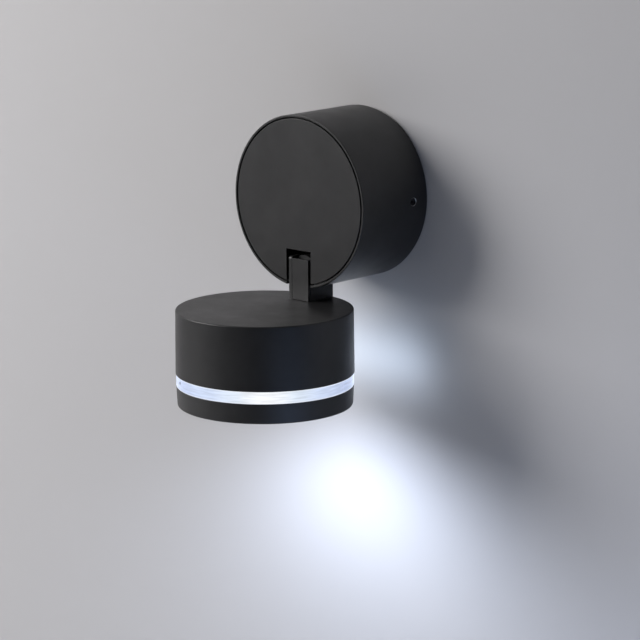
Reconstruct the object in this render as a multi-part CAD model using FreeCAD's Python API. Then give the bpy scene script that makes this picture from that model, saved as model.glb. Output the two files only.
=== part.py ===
"""Pivoting spotlight wall light: two equal drums joined by a hollow hinge arm.

The base drum stands out from the wall along -Y. The spotlight drum hangs in front of and
below it, and swings up on the arm until both drums share one axis.
Millimetres. +Z is up, the wall is the plane Y = 0, and the origin is the centre of the base
drum on the wall.
"""
import FreeCAD, Part
import math
import os

Vector = FreeCAD.Vector
X_AXIS, Y_AXIS, Z_AXIS = Vector(1, 0, 0), Vector(0, 1, 0), Vector(0, 0, 1)

# ---------------------------------------------------------------- driving sizes
drum_diameter = 100.0        # base drum, outside
drum_depth = 55.5            # wall to front face
wall = 2.6                   # cast wall of both drums
touch = 0.05                 # running and thread clearance, on the radius
seat = 0.3                   # air between soft or curved neighbours
past = 1.0                   # how far a cut runs beyond the face it opens
head_spread = 1.72           # screw head to shank, radius to radius
head_rise = 1.2              # screw head's height to the shank's radius
screw_slot_share = 0.3       # screw slot's width to the head's radius

# rear seal and wall bracket
gasket_thickness = 1.0
gasket_inset = 0.6
bracket_sheet = 2.0
bracket_air = 1.9            # bracket edge to the inside of the drum
fixing_spacing = 60.0
fixing_slot_width = 5.0
fixing_slot_length = 10.0
tab_width = 12.0
tab_reach = 19.0             # from the wall to the tab's front edge
tab_air = 2.2                # tab to the inside of the drum
relief_width = 1.2
relief_length = 12.0
set_screw_from_wall = 12.6
set_screw_radius = 2.0
set_screw_length = 6.0
set_screw_sunk = 1.2         # below the drum's surface
set_screw_socket = 2.0       # across flats, and deep
side_hole_radius = 2.3
side_hole_chamfer = 0.35

# front plate
lip = 1.3                    # rim left round the plate
shadow_gap = 0.9
plate_thickness = 2.5
ledge_width = 6.4
ledge_thickness = 2.4
rim_chamfer = 0.3
stud_from_ledge_edge = 2.8
stud_radius = 1.5
stud_length = 8.0
stud_angles = (90.0, 210.0, 330.0)
nut_height = 2.4
nut_flats = 5.5

# hinge
arm_width = 15.0
arm_front_reach = 10.5       # pivot to the arm's front face, flush with the plate
arm_rear_reach = 10.5
ear_rise = 6.6               # pivot to the top of the left ear
ear_front_corner = 1.6
ear_rear_corner = 4.0
cover_rise = 5.7             # pivot to the top of the front cover, which hides the right ear
plug_rise = 7.3              # pivot to the crown of the plug between the ears
plug_side_rise = 5.4
pivot_from_rim = 11.0        # the pivot up from the drum's lowest line
slot_side_air = 2.0
slot_rear_air = 0.6
notch_air = 0.4              # over the arm when the spotlight points forward
cheek_air = 0.1              # the slot's side to the yoke's cheek
cheek_thickness = 2.5
cheek_nose = 5.5
pivot_radius = 2.5
pivot_nut_flats = 8.0
pivot_nut_height = 5.0
nut_hexagon_share = 0.72     # of the lock nut's height; its round collar takes the rest
nut_collar_share = 0.42      # collar's radius to the width across flats
pivot_bolt_proud = 0.8       # past the nut
spring_washer_height = 1.2
spring_washer_sheet = 0.6
spring_washer_radius = 5.2
washer_radius = 5.0
web_from_pivot = 14.5        # pivot back to the yoke's web
web_height = 20.5
wing_length = 14.0
wing_height = 12.0
wing_corner = 3.0
yoke_screw_drop = 1.0        # wing's middle under the web's top half
post_radius = 4.0
post_length = 14.0
post_rib = 3.0
yoke_screw_radius = 2.0
yoke_screw_length = 9.0
yoke_screw_from_axis = 20.0

# arm shell
arm_cheek = 2.2
arm_rear_web = 2.0
arm_flange = 3.0
cover_thickness = 1.6
cover_seam = 0.2
cover_leg = 1.0
cover_leg_reach = 3.2
cover_leg_height = 4.5
sleeve_wall = 1.05
arm_screw_radius = 1.5
arm_screw_short = 0.4        # the screw's end under the flange's top
arm_screw_offset = 5.5
lead_radius = 1.75
bush_wall = 0.8

# spotlight drum
head_growth = 1.6            # the spotlight's top over the base drum, on the diameter
head_draft_growth = 0.35     # on the radius, top to open rim
head_body_height = 36.8
lens_band_height = 7.2
bezel_height = 11.5
head_gap = 7.5               # base drum to the spotlight's top
head_top_wall = 3.0
head_edge = 0.5
lens_inset = 0.4
bezel_inset = 0.35
bezel_taper = 0.55
bezel_edge = 0.6
bezel_band = 8.2             # the bezel's inner edge in from the spotlight's top edge
bezel_mouth_flare = 1.2
bezel_mouth_rise = 3.6
lens_web = 3.0
lens_web_drop = 0.8          # housing's rim to the top of the clear web
skirt_wall = 2.6             # the clear moulding's threaded skirts
skirt_height = 6.0
skirt_end_air = 0.5
seal_width = 1.2
seal_depth = 0.8
seal_from_edge = 1.25
gate_mark_radius = 0.7
gate_mark_depth = 0.4
gate_mark_angle = -118.0
gate_mark_rise = 4.4         # over the clear band's lower face

# light engine
spreader_air = 7.7           # the spreader's edge to the inside of the wall
spreader_thickness = 3.0
spreader_drop = 10.5         # under the inside of the top wall
spreader_screw_inset = 8.5
spreader_screw_radius = 1.5
spreader_screw_length = 9.0
spreader_angles = (30.0, 150.0, 270.0)
spreader_boss_radius = 4.0
spreader_lead_offset = 26.0  # spotlight's axis to the lead's hole
spreader_lead_air = 1.0
board_radius = 23.0
board_thickness = 1.6
board_screw_offset = 16.5
board_screw_radius = 1.25
board_screw_length = 4.2
emitter_radius = 8.0
emitter_height = 1.2
emitter_chamfer = 0.4
connector_width = 8.0
connector_depth = 5.4
connector_height = 3.0
core_radius = 1.0            # the lead's stripped end
core_depth_left = 2.0
reflector_neck_radius = 9.5
reflector_mouth_inset = 3.0  # inside the bezel's opening
reflector_wall = 0.9
reflector_flange = 2.4
reflector_knee_out = 0.6     # share of the way out and down where the bowl's two cones meet
reflector_knee_down = 0.5

# driver and terminals
driver_side_air = 5.4        # the driver's ears to the inside of the drum
driver_height = 30.0
driver_depth = 24.0
driver_over_pivot = 25.0
driver_front_air = 4.0       # the driver's front to the plate
driver_corner = 2.5
driver_ear = 10.0
driver_ear_height = 9.0
driver_ear_thickness = 2.0
driver_ear_edge = 4.0        # screw to the ear's end
driver_post_radius = 3.5
driver_post_from_tab = 2.5
driver_post_length = 12.0
driver_screw_radius = 1.5
driver_screw_length = 8.0
gland_height = 2.0
gland_wall = 1.2
driver_outlet_inset = 7.0
terminal_width = 28.0
terminal_depth = 18.0
terminal_height = 13.0
terminal_low_z = 13.0
terminal_pitch = 8.5
clamp_half = 2.2
terminal_screw_radius = 1.5
terminal_wall = 1.0
terminal_groove = 1.4
terminal_groove_depth = 4.0
terminal_screw_inset = 4.5
terminal_screw_length = 3.4
wire_loop_rise = 6.5         # over the top of the terminal block
earth_x = 24.0
earth_z = 21.0
earth_screw_radius = 2.0
earth_screw_length = 3.4
lug_sheet = 0.8
lug_radius = 4.1
lug_barrel_from_screw = 5.5
lug_bore_from_screw = 7.0
lug_barrel_length = 5.5
wire_radius = 1.1
wire_bend = 6.0
wire_in_clamp = 2.0
earth_wire_bend = 3.4
lead_bend = 3.6
slack_rise = 8.5
lead_end_rise = 0.5          # over the plug, where the lead's two stretches meet
lead_drop_in_head = 5.5
lead_sidestep = 6.5          # drop over which the lead moves to the middle of the arm
core_bend = 1.6
entry_bore_radius = 4.0
entry_body_radius = 8.0
entry_flange_radius = 10.5
entry_flange_height = 2.0
entry_nose_height = 5.0
entry_nose_radius = 6.0

# ---------------------------------------------------------------- worked-out places
drum_radius = drum_diameter / 2
inner_radius = drum_radius - wall
front_y = -drum_depth
plate_back_y = front_y + plate_thickness
ledge_back_y = plate_back_y + ledge_thickness
plate_radius = drum_radius - lip - shadow_gap
ledge_inner = inner_radius - ledge_width
stud_circle_radius = ledge_inner + stud_from_ledge_edge
pivot_drop = drum_radius - pivot_from_rim
pivot = Vector(0, front_y + arm_front_reach, -pivot_drop)
arm_half = arm_width / 2
arm_inner = arm_half - arm_cheek
arm_front_y = pivot.y - arm_front_reach
arm_rear_y = pivot.y + arm_rear_reach
cover_back_y = arm_front_y + cover_thickness
slot_half = arm_half + slot_side_air
notch_top_z = pivot.z + arm_front_reach + notch_air
slot_rear_y = arm_rear_y + slot_rear_air
cheek_inner = slot_half + cheek_air
cheek_outer = cheek_inner + cheek_thickness
web_front_y = pivot.y + web_from_pivot
web_back_y = web_front_y + cheek_thickness
web_low_z = pivot.z - cheek_nose
yoke_screw_z = web_low_z + web_height - wing_height / 2 - yoke_screw_drop
head_top_z = -drum_radius - head_gap
head_axis_y = pivot.y - pivot_drop
head_rim_z = head_top_z - head_body_height
bezel_top_z = head_rim_z - lens_band_height
head_low_z = bezel_top_z - bezel_height
head_top_radius = (drum_diameter + head_growth) / 2
head_rim_radius = head_top_radius + head_draft_growth
head_ceiling_z = head_top_z - head_top_wall
lens_radius = head_rim_radius - lens_inset
bezel_radius = head_rim_radius - bezel_inset
bezel_inner_radius = head_top_radius - bezel_band
reflector_mouth_radius = bezel_inner_radius - reflector_mouth_inset
spreader_radius = head_top_radius - wall - spreader_air
spreader_screw_circle = spreader_radius - spreader_screw_inset
spreader_top_z = head_ceiling_z - spreader_drop
board_top_z = spreader_top_z - spreader_thickness
board_low_z = board_top_z - board_thickness
lens_web_top_z = head_rim_z - lens_web_drop
sleeve_radius = pivot_radius + touch + sleeve_wall
lead_in_arm_y = pivot.y + (sleeve_radius + arm_rear_reach - arm_rear_web) / 2
lead_end_z = pivot.z + plug_rise + lead_end_rise
thread_radius = lens_radius - seal_from_edge - seal_width
arm_top_z = pivot.z + ear_rise
bracket_radius = inner_radius - bracket_air
tab_outer_x = inner_radius - tab_air
entry_length = bracket_sheet + entry_flange_height + entry_nose_height
lug_barrel_y = -bracket_sheet - wire_radius - lug_sheet
terminal_low_y = -bracket_sheet - terminal_height
terminal_bore_y = -bracket_sheet - terminal_height / 2
terminal_high_z = terminal_low_z + terminal_depth
wire_loop_z = terminal_high_z + wire_loop_rise
driver_rear_y = plate_back_y + driver_front_air + driver_depth
driver_width = 2 * (inner_radius - driver_side_air - driver_ear)
driver_screw_offset = driver_width / 2 + driver_ear - driver_ear_edge
driver_outlet_x = driver_width / 2 - driver_outlet_inset
driver_low_z = pivot.z + driver_over_pivot
driver_high_z = driver_low_z + driver_height
driver_ear_z = tab_width / 2 + driver_post_from_tab + driver_post_radius


# ---------------------------------------------------------------- shape helpers
def cylinder(radius, start, end):
    """A round bar from one point to another."""
    run = end - start
    return Part.makeCylinder(radius, run.Length, start, run)


def pipe(outer, inner, start, end):
    """A round bar with a hole through it."""
    return cylinder(outer, start, end).cut(cylinder(inner, start, end))


def block(low, high):
    """A box between two corners."""
    size = [high[i] - low[i] for i in range(3)]
    return Part.makeBox(*size, Vector(*low))


def outline(corners):
    """A face from corner points in order."""
    points = [Vector(*c) for c in corners]
    return Part.Face(Part.makePolygon(points + points[:1]))


def turned_y(profile):
    """Turns a profile of (radius, y) corners round the base drum's axis."""
    return outline([(r, y, 0) for r, y in profile]).revolve(Vector(0, 0, 0), Y_AXIS, 360)


def turned_z(profile, centre=None):
    """Turns a profile of (radius, z) corners round a vertical axis, by default the spotlight's."""
    at = centre or Vector(0, head_axis_y, 0)
    face = outline([(at.x + r, at.y, z) for r, z in profile])
    return face.revolve(at, Z_AXIS, 360)


def fused(shapes):
    """All the shapes as one solid."""
    whole = shapes[0]
    for shape in shapes[1:]:
        whole = whole.fuse(shape)
    return whole.removeSplitter()


def round_edge(shape, middle, radius):
    """Rounds the straight edge whose middle is at the point."""
    edges = [e for e in shape.Edges if e.BoundBox.Center.distanceToPoint(middle) < 0.01]
    return shape.makeFillet(radius, edges)


def rim_edges(shape, z, radius):
    """The round edges at one height that are at least as wide as the radius says."""
    return [e for e in shape.Edges
            if abs(e.BoundBox.Center.z - z) < 0.01 and e.BoundBox.XLength > 2 * radius - 0.1]


def polar_y(radius, angle, y):
    """A point round the base drum's axis."""
    a = math.radians(angle)
    return Vector(radius * math.cos(a), y, radius * math.sin(a))


def polar_head(radius, angle, z):
    """A point round the spotlight's axis."""
    a = math.radians(angle)
    return Vector(radius * math.cos(a), head_axis_y + radius * math.sin(a), z)


def placed(shape, position, direction):
    """Moves a shape made along +Z at the origin so that its +Z points along the direction."""
    moved = shape.copy()
    moved.Placement = FreeCAD.Placement(position, FreeCAD.Rotation(Z_AXIS, direction))
    return moved


def hexagon(flats, height, bore=0.0):
    """A hexagonal prism on the origin, along +Z."""
    corner = flats / math.sqrt(3)
    points = [(corner * math.cos(i * math.pi / 3), corner * math.sin(i * math.pi / 3), 0)
              for i in range(6)]
    prism = outline(points).extrude(Vector(0, 0, height))
    return prism.cut(Part.makeCylinder(bore, height)) if bore else prism


def slotted(head_radius, depth):
    """The straight slot of a screw head, cut down from the origin."""
    width = screw_slot_share * head_radius
    return Part.makeBox(2 * head_radius, width, depth, Vector(-head_radius, -width / 2, -depth))


def slotted_screw(radius, length):
    """A cheese-head screw: the head's underside on the origin, the shank along -Z."""
    head_radius, head_height = head_spread * radius, head_rise * radius
    profile = [(0, -length), (radius, -length), (radius, 0), (head_radius, 0),
               (head_radius, head_height), (0, head_height)]
    slot = slotted(head_radius, head_height / 2)
    slot.translate(Vector(0, 0, head_height))
    return turned_z(profile, Vector(0, 0, 0)).cut(slot)


def lead(points, radius, bend):
    """A six-sided wire of straight runs joined by tangent arcs, through the points."""
    edges = []
    start = points[0]
    for before, corner, after in zip(points, points[1:], points[2:]):
        u, v = (before - corner).normalize(), (after - corner).normalize()
        half_turn = (math.pi - u.getAngle(v)) / 2
        back = bend * math.tan(half_turn)
        arc_start, arc_end = corner + u * back, corner + v * back
        towards = (u + v).normalize()
        middle = corner + towards * (bend / math.cos(half_turn) - bend)
        edges.append(Part.makeLine(start, arc_start))
        edges.append(Part.Arc(arc_start, middle, arc_end).toShape())
        start = arc_end
    edges.append(Part.makeLine(start, points[-1]))
    ring = Part.Wire(Part.makePolygon(wire_section(points[0], points[1] - points[0], radius)))
    return Part.Wire(edges).makePipeShell([ring], True, False)


def wire_section(centre, along, radius):
    """The closed corner points of a hexagon round a direction, its corners on the radius."""
    turn = FreeCAD.Rotation(Z_AXIS, along)
    angles = [i * math.pi / 3 for i in range(7)]
    return [centre + turn.multVec(Vector(radius * math.cos(a), radius * math.sin(a), 0)) for a in angles]


# ---------------------------------------------------------------- wall side
def rear_gasket():
    """Flat foam ring between the drum and the wall."""
    ring = drum_radius - gasket_inset
    return pipe(ring, inner_radius, Vector(0, -gasket_thickness, 0), Vector(0, 0, 0))


def wall_bracket():
    """Round sheet-steel plate with two folded tabs that take the set screws."""
    plate = cylinder(bracket_radius, Vector(0, -bracket_sheet, 0), Vector(0, 0, 0))
    tabs = []
    for side in (-1, 1):
        outer, inner = side * tab_outer_x, side * (tab_outer_x - bracket_sheet)
        low_x, high_x = min(outer, inner), max(outer, inner)
        tab = block((low_x, -tab_reach, -tab_width / 2), (high_x, 0, tab_width / 2))
        hole = cylinder(set_screw_radius + touch, Vector(low_x - past, -set_screw_from_wall, 0),
                        Vector(high_x + past, -set_screw_from_wall, 0))
        plate = plate.cut(tab_relief(side, -tab_width / 2 - relief_width))
        plate = plate.cut(tab_relief(side, tab_width / 2))
        tabs.append(tab.cut(hole))
    for side in (-1, 1):
        plate = plate.cut(fixing_slot(side * fixing_spacing / 2))
    plate = plate.cut(cylinder(entry_body_radius, Vector(0, -bracket_sheet, 0), Vector(0, 0, 0)))
    earth_hole = Vector(earth_x, 0, earth_z)
    plate = plate.cut(cylinder(earth_screw_radius + touch, earth_hole - Y_AXIS * bracket_sheet, earth_hole))
    return fused([plate] + tabs)


def tab_relief(side, low_z):
    """A slit beside a tab, so that it folds clear of the plate's round edge."""
    middle_x = side * (tab_outer_x - relief_length / 4)
    return block((middle_x - relief_length / 2, -bracket_sheet, low_z),
                 (middle_x + relief_length / 2, 0, low_z + relief_width))


def fixing_slot(x):
    """One slotted hole for a wall screw."""
    half_run = (fixing_slot_length - fixing_slot_width) / 2
    r = fixing_slot_width / 2
    ends = [cylinder(r, Vector(x + s * half_run, -bracket_sheet, 0), Vector(x + s * half_run, 0, 0))
            for s in (-1, 1)]
    middle = block((x - half_run, -bracket_sheet, -r), (x + half_run, 0, r))
    return fused(ends + [middle])


def cable_grommet():
    """Rubber bush in the bracket's centre hole, with a sealing nose."""
    nose_y = -entry_length
    flange_y = -bracket_sheet - entry_flange_height
    profile = [(entry_bore_radius, 0), (entry_body_radius, 0), (entry_body_radius, -bracket_sheet),
               (entry_flange_radius, -bracket_sheet), (entry_flange_radius, flange_y),
               (entry_nose_radius, flange_y), (entry_nose_radius, nose_y),
               (entry_bore_radius, nose_y)]
    return turned_y(profile)


def earth_screw():
    """Screw and washer that hold the earth lug on the bracket."""
    at = Vector(earth_x, -bracket_sheet - 2 * lug_sheet, earth_z)
    screw = placed(slotted_screw(earth_screw_radius, earth_screw_length), at, -Y_AXIS)
    washer = pipe(lug_radius, earth_screw_radius + touch, at, at + Y_AXIS * lug_sheet)
    return Part.makeCompound([screw, washer])


def earth_lug():
    """Flat ring and crimped barrel at the end of the earth wire."""
    low_y = -bracket_sheet - lug_sheet
    centre = Vector(earth_x, low_y, earth_z)
    ring = cylinder(lug_radius, centre, centre + Y_AXIS * lug_sheet)
    barrel = Vector(earth_x, lug_barrel_y, earth_z + lug_barrel_from_screw)
    tongue = block((earth_x - lug_radius / 2, low_y, earth_z),
                   (earth_x + lug_radius / 2, -bracket_sheet, barrel.z + lug_sheet))
    tube = cylinder(wire_radius + lug_sheet, barrel, barrel + Z_AXIS * lug_barrel_length)
    bore = Vector(earth_x, lug_barrel_y, earth_z + lug_bore_from_screw)
    body = fused([ring, tongue, tube]).cut(cylinder(wire_radius, bore, bore + Z_AXIS * lug_barrel_length))
    return body.cut(cylinder(earth_screw_radius + touch, centre, centre + Y_AXIS * lug_sheet))


def terminal_poles():
    """X of each pole of the terminal block."""
    return (-terminal_pitch, 0.0, terminal_pitch)


def terminal_block():
    """Three-pole block: a square way along Z for each pole, with a screw well over each end."""
    low = (-terminal_width / 2, terminal_low_y, terminal_low_z)
    body = block(low, (terminal_width / 2, -bracket_sheet, terminal_high_z))
    half = clamp_half + touch
    for x in terminal_poles():
        body = body.cut(block((x - half, terminal_bore_y - half, terminal_low_z),
                              (x + half, terminal_bore_y + half, terminal_high_z)))
        for z in terminal_screw_heights():
            body = body.cut(block((x - half, terminal_low_y, z - half),
                                  (x + half, terminal_bore_y, z + half)))
    for x in (-terminal_pitch / 2, terminal_pitch / 2):
        groove = block((x - terminal_groove / 2, terminal_low_y, terminal_low_z),
                       (x + terminal_groove / 2, terminal_low_y + terminal_groove_depth, terminal_high_z))
        body = body.cut(groove)
    return body


def terminal_screw_heights():
    """Z of the two clamp screws of a pole."""
    return (terminal_low_z + terminal_screw_inset, terminal_high_z - terminal_screw_inset)


def terminal_clamps():
    """Square brass clamp of each pole, open along Z for the wires and tapped for the clamp screws."""
    solids = []
    half = clamp_half
    for x in terminal_poles():
        body = block((x - half, terminal_bore_y - half, terminal_low_z + terminal_wall),
                     (x + half, terminal_bore_y + half, terminal_high_z - terminal_wall))
        opening = wire_radius + touch
        body = body.cut(block((x - opening, terminal_bore_y - opening, terminal_low_z),
                              (x + opening, terminal_bore_y + opening, terminal_high_z)))
        for z in terminal_screw_heights():
            body = body.cut(cylinder(terminal_screw_radius + touch, Vector(x, terminal_bore_y - half, z),
                                     Vector(x, terminal_bore_y - opening, z)))
        solids.append(body)
    return Part.makeCompound(solids)


def terminal_screws():
    """Slotted clamp screws, standing in their wells on the wires."""
    solids = []
    for x in terminal_poles():
        for z in terminal_screw_heights():
            foot = Vector(x, terminal_bore_y - wire_radius - touch, z)
            top = foot - Y_AXIS * terminal_screw_length
            slot = placed(slotted(terminal_screw_radius, terminal_screw_radius), top, -Y_AXIS)
            solids.append(cylinder(terminal_screw_radius, foot, top).cut(slot))
    return Part.makeCompound(solids)


# ---------------------------------------------------------------- base drum
def base_housing():
    """Cast drum: open to the wall, with a ledge for the front plate and a slot for the arm."""
    rear_y = -gasket_thickness
    lip_inner = drum_radius - lip
    profile = [(inner_radius, rear_y), (drum_radius, rear_y), (drum_radius, front_y + rim_chamfer),
               (drum_radius - rim_chamfer, front_y), (lip_inner, front_y), (lip_inner, plate_back_y),
               (ledge_inner, plate_back_y), (ledge_inner, ledge_back_y), (inner_radius, ledge_back_y)]
    shell = turned_y(profile)
    body = fused([shell] + yoke_posts() + driver_posts())
    for a in stud_angles:
        body = body.cut(cylinder(stud_radius + touch, polar_y(stud_circle_radius, a, front_y),
                                 polar_y(stud_circle_radius, a, ledge_back_y)))
    body = body.cut(arm_slot())
    for side in (-1, 1):
        body = body.cut(side_hole(side))
    return body


def arm_slot():
    """The slot through the drum's underside, open at the front."""
    return block((-slot_half, front_y - past, -drum_radius - past), (slot_half, slot_rear_y, pivot.z))


def side_hole(side):
    """Radial hole for a set screw, with a chamfered mouth."""
    start = Vector(side * (inner_radius - past), -set_screw_from_wall, 0)
    hole = cylinder(side_hole_radius, start, Vector(side * (drum_radius + past), start.y, 0))
    mouth = Part.makeCone(side_hole_radius, side_hole_radius + 2 * side_hole_chamfer,
                          2 * side_hole_chamfer,
                          Vector(side * (drum_radius - side_hole_chamfer), start.y, 0), X_AXIS * side)
    return hole.fuse(mouth)


def wall_post(x, z, radius, rib, front, length, bore):
    """A cast post along Y with a rib out to the drum's wall, tapped from the front."""
    here = Vector(x, front, z)
    there = here + Vector(0, length, 0)
    post = cylinder(radius, here, there)
    reach = math.hypot(x, z)
    rib_block = block((0, 0, -rib / 2), (inner_radius + wall / 2 - reach, length, rib / 2))
    rib_block.Placement = FreeCAD.Placement(here, FreeCAD.Rotation(Y_AXIS, -math.degrees(math.atan2(z, x))))
    return fused([post, rib_block]).cut(cylinder(bore, here, there - Y_AXIS * past))


def yoke_posts():
    """Two posts that carry the hinge yoke."""
    return [wall_post(side * yoke_screw_from_axis, yoke_screw_z, post_radius, post_rib, web_back_y,
                      post_length, yoke_screw_radius + touch) for side in (-1, 1)]


def driver_posts():
    """Two posts that carry the driver."""
    return [wall_post(side * driver_screw_offset, driver_ear_z, driver_post_radius, post_rib,
                      driver_rear_y, driver_post_length, driver_screw_radius + touch)
            for side in (-1, 1)]


def set_screws():
    """Socket set screws through the drum's sides into the bracket's tabs."""
    solids = []
    for side in (-1, 1):
        outer = Vector(side * (drum_radius - set_screw_sunk), -set_screw_from_wall, 0)
        inner = outer - Vector(side * set_screw_length, 0, 0)
        socket = placed(hexagon(set_screw_socket, set_screw_socket),
                        outer - X_AXIS * side * set_screw_socket, X_AXIS * side)
        solids.append(cylinder(set_screw_radius, inner, outer).cut(socket))
    return Part.makeCompound(solids)


def front_plate():
    """Flush front disc with the arm's notch, on three studs."""
    disc = cylinder(plate_radius, Vector(0, front_y, 0), Vector(0, plate_back_y, 0))
    disc = disc.cut(block((-slot_half, front_y, -drum_radius), (slot_half, plate_back_y, notch_top_z)))
    studs = [cylinder(stud_radius, polar_y(stud_circle_radius, a, plate_back_y),
                      polar_y(stud_circle_radius, a, plate_back_y + stud_length)) for a in stud_angles]
    return fused([disc] + studs)


def front_plate_nuts():
    """Nuts on the plate's studs, behind the ledge."""
    nut = hexagon(nut_flats, nut_height, stud_radius + touch)
    return Part.makeCompound([placed(nut, polar_y(stud_circle_radius, a, ledge_back_y), Y_AXIS)
                              for a in stud_angles])


# ---------------------------------------------------------------- hinge, on the base
def hinge_yoke():
    """Folded steel yoke: a web behind the arm, two cheeks beside it and two screwed wings."""
    high_z = web_low_z + web_height
    web = block((-cheek_outer, web_front_y, web_low_z), (cheek_outer, web_back_y, high_z))
    cheeks = []
    for side in (-1, 1):
        x_low = min(side * cheek_inner, side * cheek_outer)
        x_high = x_low + cheek_thickness
        plate = block((x_low, pivot.y, web_low_z), (x_high, web_back_y, pivot.z + cheek_nose))
        nose = cylinder(cheek_nose, Vector(x_low, pivot.y, pivot.z), Vector(x_high, pivot.y, pivot.z))
        cheeks += [plate, nose]
    wing_low_z = yoke_screw_z - wing_height / 2
    wings = block((-cheek_outer - wing_length, web_front_y, wing_low_z),
                  (cheek_outer + wing_length, web_back_y, wing_low_z + wing_height))
    body = fused([web] + cheeks + [wings])
    body = body.cut(cylinder(pivot_radius + touch, pivot - X_AXIS * drum_radius,
                             pivot + X_AXIS * drum_radius))
    for side in (-1, 1):
        at = Vector(side * yoke_screw_from_axis, web_front_y, yoke_screw_z)
        body = body.cut(cylinder(yoke_screw_radius + touch, at, at + Vector(0, cheek_thickness, 0)))
    for side in (-1, 1):
        for z in (wing_low_z, wing_low_z + wing_height):
            corner = Vector(side * (cheek_outer + wing_length), web_front_y + cheek_thickness / 2, z)
            body = round_edge(body, corner, wing_corner)
    return body


def yoke_screws():
    """Screws that hold the yoke on its posts."""
    screw = slotted_screw(yoke_screw_radius, yoke_screw_length)
    return Part.makeCompound([placed(screw, Vector(side * yoke_screw_from_axis, web_front_y, yoke_screw_z),
                                     -Y_AXIS) for side in (-1, 1)])


def pivot_bolt():
    """Bolt across the yoke, with its head on the left."""
    length = 2 * cheek_outer + spring_washer_height + pivot_nut_height + pivot_bolt_proud
    start = Vector(-cheek_outer, pivot.y, pivot.z)
    return placed(slotted_screw(pivot_radius, length), start, -X_AXIS)


def pivot_nut():
    """Lock nut with its nylon collar."""
    start = Vector(cheek_outer + spring_washer_height, pivot.y, pivot.z)
    hex_height = nut_hexagon_share * pivot_nut_height
    body = placed(hexagon(pivot_nut_flats, hex_height, pivot_radius + touch), start, X_AXIS)
    collar_start = start + X_AXIS * hex_height
    collar = pipe(nut_collar_share * pivot_nut_flats, pivot_radius + touch, collar_start,
                  start + X_AXIS * pivot_nut_height)
    return fused([body, collar])


def spring_washer():
    """Cone washer that keeps the hinge stiff."""
    x = cheek_outer
    bore = pivot_radius + touch
    profile = [(bore, x + spring_washer_height - spring_washer_sheet), (spring_washer_radius, x),
               (spring_washer_radius, x + spring_washer_sheet), (bore, x + spring_washer_height)]
    face = outline([(px, pivot.y, pivot.z + r) for r, px in profile])
    return face.revolve(pivot, X_AXIS, 360)


def friction_washers():
    """Fibre washers between the arm's ears and the yoke."""
    return Part.makeCompound([pipe(washer_radius, pivot_radius + touch,
                                   Vector(side * (arm_half + touch), pivot.y, pivot.z),
                                   Vector(side * cheek_inner, pivot.y, pivot.z)) for side in (-1, 1)])


# ---------------------------------------------------------------- arm, on the spotlight
def hinge_arm():
    """Hollow arm: two eared cheeks, a rear web and a foot flange on the spotlight."""
    left = arm_cheek_plate(-arm_half, arm_front_y, arm_top_z)
    right = arm_cheek_plate(arm_inner, cover_back_y + cover_seam, pivot.z + cover_rise)
    rear = block((-arm_half, arm_rear_y - arm_rear_web, head_top_z),
                 (arm_half, arm_rear_y, pivot.z - ear_rear_corner))
    flange = block((-arm_half, cover_back_y + cover_seam, head_top_z),
                   (arm_half, arm_rear_y, head_top_z + arm_flange))
    body = fused([left, right, rear, flange])
    body = body.cut(cylinder(pivot_radius + touch, pivot - X_AXIS * arm_width, pivot + X_AXIS * arm_width))
    for at in arm_screw_places():
        body = body.cut(cylinder(arm_screw_radius + touch, at, at + Z_AXIS * arm_flange))
    return body.cut(cylinder(lead_radius + bush_wall, bush_foot(), bush_foot() + Z_AXIS * arm_width))


def arm_cheek_plate(low_x, front, top_z):
    """One side of the arm, with the two top corners of its ear rounded."""
    plate = block((low_x, front, head_top_z), (low_x + arm_cheek, arm_rear_y, top_z))
    middle_x = low_x + arm_cheek / 2
    plate = round_edge(plate, Vector(middle_x, front, top_z), ear_front_corner)
    return round_edge(plate, Vector(middle_x, arm_rear_y, top_z), ear_rear_corner)


def bush_foot():
    """Centre of the lead's hole, on the underside of the spotlight's top wall."""
    return Vector(0, pivot.y, head_ceiling_z)


def arm_screw_places():
    """Centres of the two foot screws, on the spotlight's top."""
    return [Vector(0, pivot.y + s * arm_screw_offset, head_top_z) for s in (-1, 1)]


def arm_front_cover():
    """Flush strip that closes the wire channel and hides the right cheek's edge, on snap legs."""
    low_x = -arm_inner + cover_seam
    strip = block((low_x, arm_front_y, head_top_z + cover_seam),
                  (arm_half, cover_back_y, pivot.z + cover_rise))
    legs = []
    for leg_x in (low_x, arm_inner - cover_seam - cover_leg):
        for low_z in (head_top_z + arm_flange + cover_leg, pivot.z - cover_leg):
            legs.append(block((leg_x, cover_back_y, low_z),
                              (leg_x + cover_leg, cover_back_y + cover_leg_reach, low_z + cover_leg_height)))
    return fused([strip] + legs)


def arm_plug():
    """Domed rubber plug that shuts the arm's top between the ears, with a hole for the lead."""
    half = arm_inner - touch
    low_z = pivot.z + sleeve_radius + touch
    side_z, crown_z = pivot.z + plug_side_rise, pivot.z + plug_rise
    front = cover_back_y + cover_leg_reach + seat
    back = arm_rear_y - arm_rear_web
    left, crown, right = Vector(-half, front, side_z), Vector(0, front, crown_z), Vector(half, front, side_z)
    foot_left, foot_right = Vector(-half, front, low_z), Vector(half, front, low_z)
    edges = [Part.makeLine(foot_left, left), Part.Arc(left, crown, right).toShape(),
             Part.makeLine(right, foot_right), Part.makeLine(foot_right, foot_left)]
    dome = Part.Face(Part.Wire(edges)).extrude(Vector(0, back - front, 0))
    hole = Vector(0, lead_in_arm_y, low_z)
    return dome.cut(cylinder(lead_radius, hole, hole + Z_AXIS * plug_rise))


def pivot_sleeve():
    """Spacer tube between the ears."""
    return pipe(sleeve_radius, pivot_radius + touch, Vector(-arm_inner, pivot.y, pivot.z),
                Vector(arm_inner, pivot.y, pivot.z))


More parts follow.
